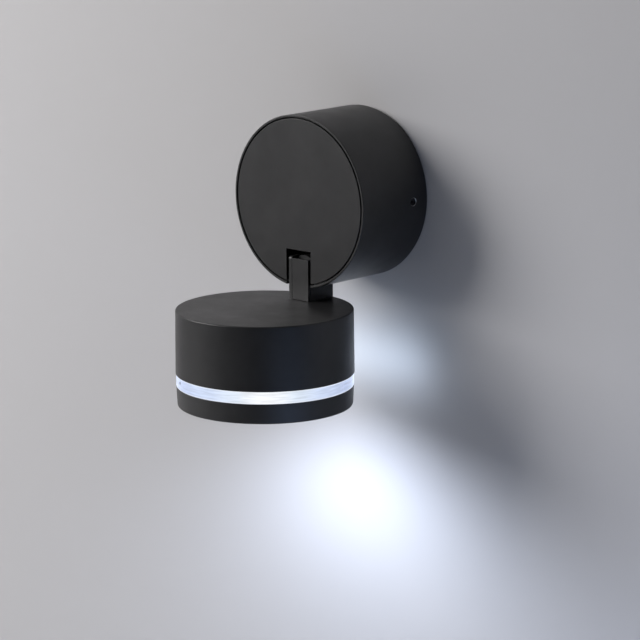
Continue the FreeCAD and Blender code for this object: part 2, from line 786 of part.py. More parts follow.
def arm_screws():
    """Foot screws, driven from inside the spotlight."""
    screw = slotted_screw(arm_screw_radius, head_top_wall + arm_flange - arm_screw_short)
    return Part.makeCompound([placed(screw, at - Z_AXIS * head_top_wall, -Z_AXIS)
                              for at in arm_screw_places()])


def lead_bush():
    """Rubber bush where the lead enters the spotlight."""
    foot = bush_foot()
    top = foot + Z_AXIS * (head_top_wall + arm_flange)
    return pipe(lead_radius + bush_wall, lead_radius, foot, top)


# ---------------------------------------------------------------- spotlight drum
def head_housing():
    """Cast cup with a slight draft, a threaded rim and posts for the heat spreader."""
    land_z = head_rim_z + skirt_height + skirt_end_air
    profile = [(0, head_top_z), (head_top_radius, head_top_z), (head_rim_radius, head_rim_z),
               (thread_radius + touch, head_rim_z), (thread_radius + touch, land_z),
               (head_top_radius - wall, land_z + wall), (head_top_radius - wall, head_ceiling_z),
               (0, head_ceiling_z)]
    cup = turned_z(profile)
    cup = cup.makeChamfer(head_edge, rim_edges(cup, head_top_z, head_top_radius))
    posts = [cylinder(spreader_boss_radius, polar_head(spreader_screw_circle, a, spreader_top_z),
                      polar_head(spreader_screw_circle, a, head_ceiling_z + touch)) for a in spreader_angles]
    body = fused([cup] + posts)
    for a in spreader_angles:
        foot = polar_head(spreader_screw_circle, a, spreader_top_z)
        body = body.cut(cylinder(spreader_screw_radius + touch, foot, foot + Z_AXIS * spreader_drop))
    for at in arm_screw_places():
        body = body.cut(cylinder(arm_screw_radius + touch, at - Z_AXIS * head_top_wall, at))
    return body.cut(cylinder(lead_radius + bush_wall, bush_foot(), bush_foot() + Z_AXIS * head_top_wall))


def lens_ring():
    """Clear moulding: a thick band that shows, a threaded skirt over and under it, and a web.

    A step at the upper skirt's foot takes the seal; the web keeps the light chamber shut below.
    """
    web_low_z = lens_web_top_z - lens_web
    skirt_inner = thread_radius - skirt_wall
    step_radius, step_z = thread_radius + seal_width, head_rim_z - seal_depth
    skirt_top_z, skirt_low_z = head_rim_z + skirt_height, bezel_top_z - skirt_height
    profile = [(0, web_low_z), (0, lens_web_top_z), (skirt_inner, lens_web_top_z),
               (skirt_inner, skirt_top_z), (thread_radius, skirt_top_z), (thread_radius, step_z),
               (step_radius, step_z), (step_radius, head_rim_z),
               (lens_radius, head_rim_z), (lens_radius, bezel_top_z), (thread_radius, bezel_top_z),
               (thread_radius, skirt_low_z), (skirt_inner, skirt_low_z), (skirt_inner, web_low_z)]
    outer = polar_head(lens_radius, gate_mark_angle, bezel_top_z + gate_mark_rise)
    inner = polar_head(lens_radius - gate_mark_depth, gate_mark_angle, bezel_top_z + gate_mark_rise)
    return turned_z(profile).cut(cylinder(gate_mark_radius, inner, outer))


def lens_seal():
    """Silicone ring in the clear moulding's step, pressed by the spotlight's rim."""
    low = Vector(0, head_axis_y, head_rim_z - seal_depth)
    return pipe(thread_radius + seal_width - touch, thread_radius + touch, low, low + Z_AXIS * seal_depth)


def bezel():
    """Tapered ring, threaded onto the clear moulding's lower skirt."""
    low_radius = bezel_radius - bezel_taper
    shelf_z = bezel_top_z - skirt_height - skirt_end_air
    profile = [(thread_radius + touch, bezel_top_z), (bezel_radius, bezel_top_z),
               (low_radius, head_low_z), (bezel_inner_radius + bezel_mouth_flare, head_low_z),
               (bezel_inner_radius, head_low_z + bezel_mouth_rise), (bezel_inner_radius, shelf_z),
               (thread_radius + touch, shelf_z)]
    body = turned_z(profile)
    return body.makeChamfer(bezel_edge, rim_edges(body, head_low_z, low_radius))


# ---------------------------------------------------------------- light engine
def heat_spreader():
    """Aluminium disc that carries the light board."""
    low, high = Vector(0, head_axis_y, board_top_z), Vector(0, head_axis_y, spreader_top_z)
    body = cylinder(spreader_radius, low, high)
    for a in spreader_angles:
        at = polar_head(spreader_screw_circle, a, board_top_z)
        body = body.cut(cylinder(spreader_screw_radius + touch, at, at + Z_AXIS * spreader_thickness))
    lead_hole = Vector(0, head_axis_y + spreader_lead_offset, board_top_z)
    body = body.cut(cylinder(lead_radius + spreader_lead_air, lead_hole,
                             lead_hole + Z_AXIS * spreader_thickness))
    for side in (-1, 1):
        at = Vector(side * board_screw_offset, head_axis_y, board_top_z)
        body = body.cut(cylinder(board_screw_radius + touch, at, at + Z_AXIS * spreader_thickness))
    return body


def spreader_screws():
    """Screws up into the spotlight's posts."""
    screw = slotted_screw(spreader_screw_radius, spreader_screw_length)
    return Part.makeCompound([placed(screw, polar_head(spreader_screw_circle, a, board_top_z), -Z_AXIS)
                              for a in spreader_angles])


def light_board():
    """Round board under the heat spreader."""
    body = cylinder(board_radius, Vector(0, head_axis_y, board_low_z), Vector(0, head_axis_y, board_top_z))
    for side in (-1, 1):
        at = Vector(side * board_screw_offset, head_axis_y, board_low_z)
        body = body.cut(cylinder(board_screw_radius + touch, at, at + Z_AXIS * board_thickness))
    return body


def board_screws():
    """Two screws through the board into the spreader."""
    screw = slotted_screw(board_screw_radius, board_screw_length)
    places = [Vector(side * board_screw_offset, head_axis_y, board_low_z) for side in (-1, 1)]
    return Part.makeCompound([placed(screw, at, -Z_AXIS) for at in places])


def light_emitter():
    """Round light source in the middle of the board."""
    low = Vector(0, head_axis_y, board_low_z - emitter_height)
    body = cylinder(emitter_radius, low, Vector(0, head_axis_y, board_low_z))
    return body.makeChamfer(emitter_chamfer, rim_edges(body, low.z, emitter_radius))


def board_connector():
    """Push-in connector for the lead, at the board's edge."""
    near = head_axis_y + board_radius - connector_depth
    low_z = board_low_z - connector_height
    body = block((-connector_width / 2, near, low_z),
                 (connector_width / 2, near + connector_depth, board_low_z))
    mouth = cylinder(core_radius + touch, Vector(0, near + core_depth_left, connector_z()),
                     Vector(0, near + connector_depth, connector_z()))
    return body.cut(mouth)


def connector_z():
    """Height of the connector's mouth."""
    return board_low_z - connector_height / 2


def reflector():
    """Spun bowl in two cones from the emitter out to the clear web, with a turned-out flange."""
    depth = board_low_z - lens_web_top_z
    spread = reflector_mouth_radius - reflector_neck_radius
    knee_radius = reflector_neck_radius + reflector_knee_out * spread
    knee_z = board_low_z - reflector_knee_down * depth
    flange_r, flange_z = reflector_mouth_radius + reflector_flange, lens_web_top_z + reflector_wall
    profile = [(reflector_neck_radius, board_low_z), (knee_radius, knee_z),
               (reflector_mouth_radius, lens_web_top_z), (flange_r, lens_web_top_z), (flange_r, flange_z),
               (reflector_mouth_radius + reflector_wall, flange_z),
               (knee_radius + reflector_wall, knee_z + reflector_wall),
               (reflector_neck_radius + reflector_wall, board_low_z)]
    return turned_z(profile)


# ---------------------------------------------------------------- driver and wiring
def driver_case():
    """Closed driver box with two screw ears, two inlet glands and one outlet gland."""
    front = driver_rear_y - driver_depth
    body = block((-driver_width / 2, front, driver_low_z), (driver_width / 2, driver_rear_y, driver_high_z))
    corners = [e for e in body.Edges if e.BoundBox.YLength > driver_depth - touch]
    body = body.makeFillet(driver_corner, corners)
    ear_low_z = driver_ear_z - driver_ear_height / 2
    ear_end = driver_width / 2 + driver_ear
    ears = block((-ear_end, driver_rear_y - driver_ear_thickness, ear_low_z),
                 (ear_end, driver_rear_y, ear_low_z + driver_ear_height))
    glands = [gland(wire_radius, driver_inlet(side), Z_AXIS) for side in (-1, 1)]
    glands.append(gland(lead_radius, driver_outlet(), -Z_AXIS))
    body = fused([body, ears] + glands)
    for side in (-1, 1):
        at = Vector(side * driver_screw_offset, driver_rear_y - driver_ear_thickness, driver_ear_z)
        body = body.cut(cylinder(driver_screw_radius + touch, at, at + Vector(0, driver_ear_thickness, 0)))
    return body


def gland(lead_size, foot, direction):
    """A short round gland for a lead of the radius given."""
    return cylinder(lead_size + gland_wall, foot, foot + direction * gland_height)


def driver_inlet(side):
    """Where a mains lead enters the driver's top."""
    return Vector(side * terminal_pitch, driver_rear_y - driver_depth / 2, driver_high_z)


def driver_outlet():
    """Where the lamp lead leaves the driver's underside."""
    return Vector(driver_outlet_x, lead_in_arm_y, driver_low_z)


def driver_screws():
    """Screws through the driver's ears."""
    screw = slotted_screw(driver_screw_radius, driver_screw_length)
    front = driver_rear_y - driver_ear_thickness
    places = [Vector(side * driver_screw_offset, front, driver_ear_z) for side in (-1, 1)]
    return Part.makeCompound([placed(screw, at, -Y_AXIS) for at in places])


def mains_leads():
    """Two leads from the terminal block over to the driver's top."""
    solids = []
    for side in (-1, 1):
        inlet = driver_inlet(side) + Z_AXIS * gland_height
        pole = Vector(inlet.x, terminal_bore_y, terminal_high_z - wire_in_clamp)
        points = [pole, Vector(pole.x, pole.y, wire_loop_z), Vector(pole.x, inlet.y, wire_loop_z), inlet]
        solids.append(lead(points, wire_radius, wire_bend))
    return Part.makeCompound(solids)


def earth_lead():
    """Lead from the middle pole to the lug on the bracket."""
    pole = Vector(0, terminal_bore_y, terminal_high_z - wire_in_clamp)
    barrel = Vector(earth_x, lug_barrel_y, earth_z + lug_bore_from_screw)
    points = [pole, Vector(pole.x, pole.y, wire_loop_z), Vector(barrel.x, barrel.y, wire_loop_z), barrel]
    return lead(points, wire_radius, earth_wire_bend)


def slack_lead():
    """The lead's free stretch in the base, from the arm's top to the driver."""
    outlet = driver_outlet() - Z_AXIS * gland_height
    level_z = lead_end_z + slack_rise
    points = [Vector(0, lead_in_arm_y, lead_end_z), Vector(0, lead_in_arm_y, level_z),
              Vector(outlet.x, lead_in_arm_y, level_z), outlet]
    return lead(points, lead_radius, lead_bend)


def lamp_lead():
    """The lead's stretch down the arm, through the bush and across the spotlight to the board."""
    hole_y = head_axis_y + spreader_lead_offset
    level_z = head_ceiling_z - lead_drop_in_head
    entry_y = head_axis_y + board_radius - connector_depth + core_depth_left
    below_sleeve_z = pivot.z - sleeve_radius - lead_radius
    sheath_end = Vector(0, hole_y, board_top_z)
    sheath = [Vector(0, lead_in_arm_y, lead_end_z), Vector(0, lead_in_arm_y, below_sleeve_z),
              Vector(0, pivot.y, below_sleeve_z - lead_sidestep), Vector(0, pivot.y, level_z),
              Vector(0, hole_y, level_z), sheath_end]
    core = [sheath_end, Vector(0, hole_y, connector_z()), Vector(0, entry_y, connector_z())]
    return fused([lead(sheath, lead_radius, lead_bend), lead(core, core_radius, core_bend)])


NODES = {
    "rear_gasket": rear_gasket, "wall_bracket": wall_bracket, "cable_grommet": cable_grommet,
    "earth_screw": earth_screw, "earth_lug": earth_lug, "terminal_block": terminal_block,
    "terminal_clamps": terminal_clamps, "terminal_screws": terminal_screws,
    "base_housing": base_housing, "set_screws": set_screws, "front_plate": front_plate,
    "front_plate_nuts": front_plate_nuts, "hinge_yoke": hinge_yoke, "yoke_screws": yoke_screws,
    "pivot_bolt": pivot_bolt, "pivot_nut": pivot_nut, "spring_washer": spring_washer,
    "friction_washers": friction_washers, "hinge_arm": hinge_arm,
    "arm_front_cover": arm_front_cover, "arm_plug": arm_plug,
    "pivot_sleeve": pivot_sleeve, "arm_screws": arm_screws, "lead_bush": lead_bush,
    "head_housing": head_housing, "lens_ring": lens_ring, "lens_seal": lens_seal, "bezel": bezel,
    "heat_spreader": heat_spreader, "spreader_screws": spreader_screws,
    "light_board": light_board, "board_screws": board_screws, "light_emitter": light_emitter,
    "board_connector": board_connector, "reflector": reflector, "driver_case": driver_case,
    "driver_screws": driver_screws, "mains_leads": mains_leads, "earth_lead": earth_lead,
    "slack_lead": slack_lead, "lamp_lead": lamp_lead,
}


def main():
    os.makedirs("parts", exist_ok=True)
    for name, make in NODES.items():
        shape = make()
        bad = [s for s in shape.Solids if not s.isValid() or s.Volume <= 0]
        if bad or not shape.Solids:
            raise RuntimeError(f"{name} has {len(bad)} bad solids of {len(shape.Solids)}")
        shape.exportStep(f"parts/{name}.step")
        print(name, len(shape.Solids), round(shape.Volume, 1))


main()
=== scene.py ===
"""Looks of the pivoting spotlight wall light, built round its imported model.

Metres. +Z is up, the wall is the plane Y = 0, the base drum's axis runs along Y through the origin,
and the spotlight hangs in front of it with its own axis upright.
"""

import math
import bmesh
import bpy
from mathutils import Matrix, Vector


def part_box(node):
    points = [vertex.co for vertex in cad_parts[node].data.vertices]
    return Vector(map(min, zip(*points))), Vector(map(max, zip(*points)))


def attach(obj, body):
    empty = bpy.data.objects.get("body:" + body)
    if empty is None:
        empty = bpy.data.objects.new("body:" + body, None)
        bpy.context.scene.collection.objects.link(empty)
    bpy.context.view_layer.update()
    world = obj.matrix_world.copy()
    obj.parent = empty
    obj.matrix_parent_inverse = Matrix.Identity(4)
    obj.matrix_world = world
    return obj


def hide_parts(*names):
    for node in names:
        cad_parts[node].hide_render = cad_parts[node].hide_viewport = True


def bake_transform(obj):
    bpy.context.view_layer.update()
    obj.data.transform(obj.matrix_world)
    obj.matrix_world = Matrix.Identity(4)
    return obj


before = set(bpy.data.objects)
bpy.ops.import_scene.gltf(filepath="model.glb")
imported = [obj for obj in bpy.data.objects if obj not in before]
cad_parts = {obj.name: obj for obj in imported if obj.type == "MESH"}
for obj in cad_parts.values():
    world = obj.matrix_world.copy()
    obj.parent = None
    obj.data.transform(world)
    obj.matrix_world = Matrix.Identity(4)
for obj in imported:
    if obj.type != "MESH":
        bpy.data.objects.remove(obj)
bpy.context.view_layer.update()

# ---------------------------------------------------------------- packed sizes
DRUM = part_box("base_housing")
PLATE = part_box("front_plate")
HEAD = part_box("head_housing")
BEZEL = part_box("bezel")
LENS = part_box("lens_ring")
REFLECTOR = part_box("reflector")
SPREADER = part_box("heat_spreader")

# ---------------------------------------------------------------- driving sizes
MM = 0.001
PAST = 1 * MM                   # how far a cutter runs past what it cuts
ROOT = 0.5 * MM                 # how far a stud or post starts inside what carries it
THREAD_AIR = 0.05 * MM

# base drum and its front plate
WALL = 2.6 * MM
LIP = 1.3 * MM
LIP_ROUND = 0.2 * MM
DRUM_REAR_ROUND = 0.3 * MM
DRUM_RIM_ROUND = 0.35 * MM
PLATE_THICKNESS = 2.5 * MM
PLATE_ROUND = 0.25 * MM
LEDGE_WIDTH = 6.4 * MM
LEDGE_THICKNESS = 2.4 * MM
STUD_RADIUS = 1.5 * MM
STUD_HOLE_RADIUS = 1.55 * MM
STUD_FROM_LEDGE_EDGE = 2.8 * MM
STUD_ANGLES = (90, 210, 330)
SLOT_HALF = 9.5 * MM
SLOT_REAR_AIR = 0.6 * MM
NOTCH_AIR = 0.4 * MM
PIVOT_FROM_RIM = 11.0 * MM
ARM_REACH = 10.5 * MM
SET_SCREW_Y = -12.6 * MM
SIDE_HOLE = 2.3 * MM            # radius
SIDE_CHAMFER = 0.22 * MM
YOKE_POST = (4.0 * MM, 14.0 * MM)      # radius, length
DRIVER_POST = (3.5 * MM, 12.0 * MM)
POST_RIB = 3.0 * MM
SOFTENED_EDGE = 0.15 * MM       # on the kept nodes that are listed as softened

# spotlight
HEAD_DRAFT = 0.35 * MM
HEAD_TOP_WALL = 3.0 * MM
HEAD_TOP_ROUND = 0.8 * MM
HEAD_RIM_ROUND = 0.2 * MM
CEILING_ROUND = 1.0 * MM
SPREADER_POST = 4.0 * MM
SPREADER_ANGLES = (30, 150, 270)
SPREADER_SCREW_INSET = 8.5 * MM
THREAD_INSET = 2.45 * MM        # the band's outside to the thread under it
SKIRT_HEIGHT = 6.0 * MM
SKIRT_WALL = 2.6 * MM
SKIRT_AIR = 0.5 * MM
LENS_WEB = 3.0 * MM
LENS_WEB_DROP = 0.8 * MM
BAND_ROUND = 0.35 * MM
GATE_ANGLE = math.radians(-118)
GATE_RISE = 4.4 * MM
GATE_RADIUS = 0.9 * MM
GATE_DEPTH = 0.2 * MM
BEZEL_TAPER = 0.55 * MM
BEZEL_BAND = 8.2 * MM
BEZEL_TOP_ROUND = 0.2 * MM
BEZEL_LOW_ROUND = 0.9 * MM
MOUTH_FLARE = (1.2 * MM, 3.6 * MM)     # outwards, upwards
MOUTH_ROUND = 0.3 * MM
THROAT_ROUND = 0.5 * MM
REFLECTOR_NECK = 9.5 * MM
REFLECTOR_INSET = 3.0 * MM      # the bezel's opening to the bowl's mouth
REFLECTOR_SHEET = 0.9 * MM
REFLECTOR_KNEE = (0.6, 0.5)     # share of the way out and down

# how finely round shapes are divided, and how edges are shaded and broken
TURN_STEPS = 240
BOWL_TURN_STEPS = 160
BOWL_STEPS = 20
SMALL_STEPS = 64
BEND_STEPS = 8
LEAD_RESOLUTION = 6
ARC_STEP = math.radians(18)
ON_AXIS = 1e-7
SHARP_EDGE = math.radians(31)
BEVELLED_EDGE = math.radians(40)
BEVEL_SEGMENTS = 2
WELD_REACH = 0.002 * MM
FLAT_FACE_WEIGHT = 80

drum_radius = DRUM[1][0]
drum_inner = drum_radius - WALL
drum_rear = DRUM[1][1]
drum_front = DRUM[0][1]
plate_back = drum_front + PLATE_THICKNESS
pivot = Vector((0, drum_front + ARM_REACH, -(drum_radius - PIVOT_FROM_RIM)))
spot_y = pivot.y + pivot.z
head_top = HEAD[1][2]
head_rim = HEAD[0][2]
rim_radius = HEAD[1][0]
top_radius = rim_radius - HEAD_DRAFT
lens_radius = LENS[1][0]
thread_radius = lens_radius - THREAD_INSET
bezel_top = BEZEL[1][2]
bezel_low = BEZEL[0][2]
bezel_radius = BEZEL[1][0]
bezel_inner = top_radius - BEZEL_BAND
band_middle = (head_rim + bezel_top) / 2
web_top = head_rim - LENS_WEB_DROP


# ---------------------------------------------------------------- shape helpers
def along_drum(u, v, along):
    """A point round the base drum's axis."""
    return Vector((u, along, v))


def along_spot(u, v, along):
    """A point round the spotlight's upright axis."""
    return Vector((u, spot_y + v, along))


def polar(place, radius, angle, along):
    """A point at an angle in degrees round one of the two axes."""
    a = math.radians(angle)
    return place(radius * math.cos(a), radius * math.sin(a), along)


def in_scene(name, data):
    """A new object that holds a mesh, curve, lamp or camera, linked into the scene."""
    made = bpy.data.objects.new(name, data)
    bpy.context.scene.collection.objects.link(made)
    return made


def corner_arc(before, here, after, rounding):
    """The points of the arc that rounds one corner of an outline."""
    u, v = (before - here).normalized(), (after - here).normalized()
    half = u.angle(v) / 2
    centre = here + (u + v).normalized() * (rounding / math.sin(half))
    start = here + u * (rounding / math.tan(half)) - centre
    end = here + v * (rounding / math.tan(half)) - centre
    first = math.atan2(start.y, start.x)
    turn = (math.atan2(end.y, end.x) - first + math.pi) % (2 * math.pi) - math.pi
    steps = max(2, round(abs(turn) / ARC_STEP))
    angles = [first + turn * i / steps for i in range(steps + 1)]
    return [centre + rounding * Vector((math.cos(a), math.sin(a))) for a in angles]


def rounded(corners):
    """Outline points from (x, y) or (x, y, rounding) corners in order."""
    points = []
    for i, corner in enumerate(corners):
        here = Vector(corner[:2])
        if len(corner) == 2:
            points.append(here)
        else:
            before = Vector(corners[i - 1][:2])
            after = Vector(corners[(i + 1) % len(corners)][:2])
            points += corner_arc(before, here, after, corner[2])
    return points


def new_piece(name, bm):
    """An object from a bmesh, with its faces turned outwards."""
    bmesh.ops.recalc_face_normals(bm, faces=bm.faces)
    mesh = bpy.data.meshes.new(name)
    bm.to_mesh(mesh)
    bm.free()
    return in_scene(name, mesh)


def turned(name, corners, place, steps=TURN_STEPS):
    """Turns a closed outline of (radius, along, rounding) corners round an axis."""
    bm = bmesh.new()
    rings = []
    for radius, along in rounded(corners):
        count = 1 if radius < ON_AXIS else steps
        angles = [2 * math.pi * i / steps for i in range(count)]
        rings.append([bm.verts.new(place(radius * math.cos(a), radius * math.sin(a), along))
                      for a in angles])
    for near, far in zip(rings, rings[1:] + rings[:1]):
        if len(near) == len(far) == 1:
            continue
        for i in range(steps):
            j = (i + 1) % steps
            around = (near[i % len(near)], near[j % len(near)],
                      far[j % len(far)], far[i % len(far)])
            bm.faces.new(dict.fromkeys(around))
    return new_piece(name, bm)


def extruded(name, corners, place, low, high):
    """A prism from a closed outline; place turns (x, y, along) into a point."""
    bm = bmesh.new()
    points = rounded(corners)
    near = [bm.verts.new(place(p.x, p.y, low)) for p in points]
    far = [bm.verts.new(place(p.x, p.y, high)) for p in points]
    bm.faces.new(near)
    bm.faces.new(far)
    for i in range(len(points)):
        j = (i + 1) % len(points)
        bm.faces.new((near[i], near[j], far[j], far[i]))
    return new_piece(name, bm)


def slab(name, low, high):
    """A box between two corners."""
    corners = ((low[0], low[1]), (high[0], low[1]), (high[0], high[1]), (low[0], high[1]))
    return extruded(name, corners, lambda x, y, z: Vector((x, y, z)), low[2], high[2])


def bar(name, radius, start, end, end_radius=None):
    """A round bar from one point to another, which may widen to an end radius."""
    turn = Vector((0, 0, 1)).rotation_difference(end - start)
    length = (end - start).length
    corners = ((0, 0), (radius, 0), (end_radius or radius, length), (0, length))
    return turned(name, corners, lambda u, v, along: start + turn @ Vector((u, v, along)),
                  SMALL_STEPS)


def evaluated_mesh(shape):
    """The mesh that an object has after its modifiers, or that a curve is drawn as."""
    bpy.context.view_layer.update()
    evaluated = shape.evaluated_get(bpy.context.evaluated_depsgraph_get())
    return bpy.data.meshes.new_from_object(evaluated)


def combine(piece, others, operation):
    """Applies a boolean of a piece with each of the others, and removes the others."""
    for other in others:
        modifier = piece.modifiers.new("combine", "BOOLEAN")
        modifier.operation = operation
        modifier.solver = "EXACT"
        modifier.object = other
        result = evaluated_mesh(piece)
        piece.modifiers.clear()
        piece.data = result
        bpy.data.objects.remove(other)


def cut(piece, *cutters):
    """Cuts other solids from a piece."""
    combine(piece, cutters, "DIFFERENCE")


def join(piece, *others):
    """Joins other solids to a piece."""
    combine(piece, others, "UNION")


def shade(piece):
    """Smooth faces with sharp edges kept, and normals that keep the flat faces flat."""
    bm = bmesh.new()
    bm.from_mesh(piece.data)
    for face in bm.faces:
        face.smooth = True
    for edge in bm.edges:
        edge.smooth = len(edge.link_faces) == 2 and edge.calc_face_angle() < SHARP_EDGE
    bm.to_mesh(piece.data)
    bm.free()
    weighted = piece.modifiers.new("flat faces", "WEIGHTED_NORMAL")
    weighted.keep_sharp = True
    weighted.weight = FLAT_FACE_WEIGHT


def soft_edges(piece, width):
    """Breaks the sharp edges of a kept node by the width."""
    weld = piece.modifiers.new("weld", "WELD")
    weld.merge_threshold = WELD_REACH
    bevel = piece.modifiers.new("broken edges", "BEVEL")
    bevel.width = width
    bevel.segments = BEVEL_SEGMENTS
    bevel.limit_method = "ANGLE"
    bevel.angle_limit = BEVELLED_EDGE
    bevel.use_clamp_overlap = True
    bevel.harden_normals = True


def lead_path(points, bend):
    """The points with each corner between them replaced by a tangent bend."""
    path = [points[0]]
    for before, corner, after in zip(points, points[1:], points[2:]):
        u, v = (before - corner).normalized(), (after - corner).normalized()
        half = u.angle(v) / 2
        back = bend / math.tan(half)
        centre = corner + (u + v).normalized() * (bend / math.sin(half))
        start, end = corner + u * back - centre, corner + v * back - centre
        path += [centre + bend * start.slerp(end, i / BEND_STEPS).normalized()
                 for i in range(BEND_STEPS + 1)]
    return path + [points[-1]]


def tube(name, points, radius, bend):
    """A round lead of straight runs and tangent bends through the points."""
    path = lead_path(points, bend)
    curve = bpy.data.curves.new(name, "CURVE")
    curve.dimensions = "3D"
    curve.bevel_depth = radius
    curve.bevel_resolution = LEAD_RESOLUTION
    curve.use_fill_caps = True
    spline = curve.splines.new("POLY")
    spline.points.add(len(path) - 1)
    for point, place in zip(spline.points, path):
        point.co = (*place, 1)
    shape = in_scene(name, curve)
    piece = in_scene(name, evaluated_mesh(shape))
    bpy.data.objects.remove(shape)
    return piece


def paint(piece, material):
    """Gives a piece one material all over."""
    piece.data.materials.clear()
    piece.data.materials.append(material)


def tag_faces(piece, material, inside):
    """Gives a second material to the faces whose middle passes a test."""
    piece.data.materials.append(material)
    for face in piece.data.polygons:
        if inside(face.center):
            face.material_index = len(piece.data.materials) - 1


def settle(piece, material, body, slot, *nodes):
    """Gives a piece its material and body, shades it, and hides the nodes that it stands for; the
    slot is not used.
    """
    paint(piece, material)
    shade(piece)
    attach(piece, body)
    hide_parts(*nodes)


# ---------------------------------------------------------------- shader nodes
FLOAT, COLOUR, VECTOR = "NodeSocketFloat", "NodeSocketColor", "NodeSocketVector"
NOISE_MIDDLE = (0.3, 0.7)       # where most of a noise's values lie
TINT_MIDDLE = (0.35, 0.65)
EDGE_REACH = (0.72, 0.92)       # where the band's bright edges begin and are full
ROLLED_STRETCH = (0.03, 1.0, 1.0)
STREAK_STRETCH = (0.09, 0.09, 1.0)


def feed(tree, made, inputs):
    """Links sockets to a node's inputs, and writes plain values on them."""
    for name, value in inputs.items():
        if isinstance(value, bpy.types.NodeSocket):
            tree.links.new(value, made.inputs[name])
        else:
            made.inputs[name].default_value = value


def node(tree, kind, inputs=None, **settings):
    """A new node with its settings, its values and its links."""
    made = tree.nodes.new(kind)
    for name, value in settings.items():
        setattr(made, name, value)
    feed(tree, made, inputs or {})
    return made


def object_noise(tree, scale, detail, roughness, stretch=None):
    """Noise that is fixed to the object; a stretch under 1 draws it out along that axis."""
    place = node(tree, "ShaderNodeTexCoord").outputs["Object"]
    if stretch:
        place = node(tree, "ShaderNodeMapping", {"Vector": place, "Scale": stretch}).outputs["Vector"]
    return node(tree, "ShaderNodeTexNoise", {"Vector": place, "Scale": scale, "Detail": detail,
                                             "Roughness": roughness}).outputs["Fac"]


def ranged(tree, value, ends, low=0.0, high=1.0, **settings):
    """A value between two ends, mapped to low and high."""
    return node(tree, "ShaderNodeMapRange", {"Value": value, "From Min": ends[0],
                                             "From Max": ends[1], "To Min": low,
                                             "To Max": high}, **settings).outputs["Result"]


def bumped(tree, height, depth):
    """A normal bent by a height of a real depth."""
    return node(tree, "ShaderNodeBump", {"Height": height, "Strength": 1.0,
                                         "Distance": depth}).outputs["Normal"]


def mixed(tree, share, first, second, blend="MIX"):
    """Two colours mixed by a share."""
    return node(tree, "ShaderNodeMix", {"Factor": share, "A": first, "B": second},
                data_type="RGBA", blend_type=blend).outputs["Result"]


def arithmetic(tree, operation, *values):
    """One Math node over values or sockets."""
    return node(tree, "ShaderNodeMath", dict(enumerate(values)), operation=operation).outputs[0]


# ---------------------------------------------------------------- shader groups
def new_group(name, inputs, outputs):
    """An empty shader group with named sockets: its tree, what it is given and its output node."""
    tree = bpy.data.node_groups.new(name, "ShaderNodeTree")
    for label, kind in inputs.items():
        tree.interface.new_socket(label, in_out="INPUT", socket_type=kind)
    for label, kind in outputs.items():
        tree.interface.new_socket(label, in_out="OUTPUT", socket_type=kind)
    return tree, tree.nodes.new("NodeGroupInput").outputs, tree.nodes.new("NodeGroupOutput")


def make_grain_group():
    """Even grain of a coated or moulded surface: bumps of a real size and depth."""
    tree, given, result = new_group("surface grain", {"Per Metre": FLOAT, "Depth": FLOAT},
                                    {"Normal": VECTOR})
    grain = object_noise(tree, given["Per Metre"], 2.0, 0.55)
    feed(tree, result, {"Normal": bumped(tree, grain, given["Depth"])})
    return tree


def make_patch_group():
    """A value that wanders between two ends in soft patches."""
    tree, given, result = new_group("soft patches",
                                    {"Per Metre": FLOAT, "Low": FLOAT, "High": FLOAT},
                                    {"Value": FLOAT})
    patches = object_noise(tree, given["Per Metre"], 4.0, 0.6)
    feed(tree, result, {"Value": ranged(tree, patches, NOISE_MIDDLE, given["Low"], given["High"])})
    return tree


def make_tint_group():
    """A colour that shifts towards a second one in patches."""
    tree, given, result = new_group("tinted patches",
                                    {"Colour": COLOUR, "Second": COLOUR, "Per Metre": FLOAT},
                                    {"Colour": COLOUR})
    share = ranged(tree, object_noise(tree, given["Per Metre"], 3.0, 0.6), TINT_MIDDLE)
    feed(tree, result, {"Colour": mixed(tree, share, given["Colour"], given["Second"])})
    return tree


def make_rolled_group():
    """Fine parallel lines of rolled or turned metal, along X."""
    tree, given, result = new_group("rolled lines",
                                    {"Lines Per Metre": FLOAT, "Depth": FLOAT,
                                     "Low": FLOAT, "High": FLOAT},
                                    {"Normal": VECTOR, "Roughness": FLOAT})
    lines = object_noise(tree, given["Lines Per Metre"], 3.0, 0.6, stretch=ROLLED_STRETCH)
    feed(tree, result, {"Normal": bumped(tree, lines, given["Depth"]),
                        "Roughness": ranged(tree, lines, NOISE_MIDDLE, given["Low"], given["High"])})
    return tree


def make_streak_group():
    """Level streaks of painted light in a thick clear ring, and how near a point is to the ring's
    edges.
    """
    tree, given, result = new_group("light streaks",
                                    {"Streaks Per Metre": FLOAT, "Middle": FLOAT,
                                     "Half Height": FLOAT},
                                    {"Streak": FLOAT, "Edge": FLOAT})
    streaks = object_noise(tree, given["Streaks Per Metre"], 3.0, 0.55, stretch=STREAK_STRETCH)
    place = node(tree, "ShaderNodeTexCoord").outputs["Object"]
    height = node(tree, "ShaderNodeSeparateXYZ", {"Vector": place}).outputs["Z"]
    away = arithmetic(tree, "ABSOLUTE", arithmetic(tree, "SUBTRACT", height, given["Middle"]))
    reach = arithmetic(tree, "DIVIDE", away, given["Half Height"])
    feed(tree, result, {"Streak": ranged(tree, streaks, NOISE_MIDDLE),
                        "Edge": ranged(tree, reach, EDGE_REACH, interpolation_type="SMOOTHSTEP")})
    return tree


GRAIN = make_grain_group()
PATCHES = make_patch_group()
TINT = make_tint_group()
ROLLED = make_rolled_group()
STREAKS = make_streak_group()


def group_use(tree, group, inputs):
    """What a shader group puts out for its own values."""
    return node(tree, "ShaderNodeGroup", inputs, node_tree=group).outputs


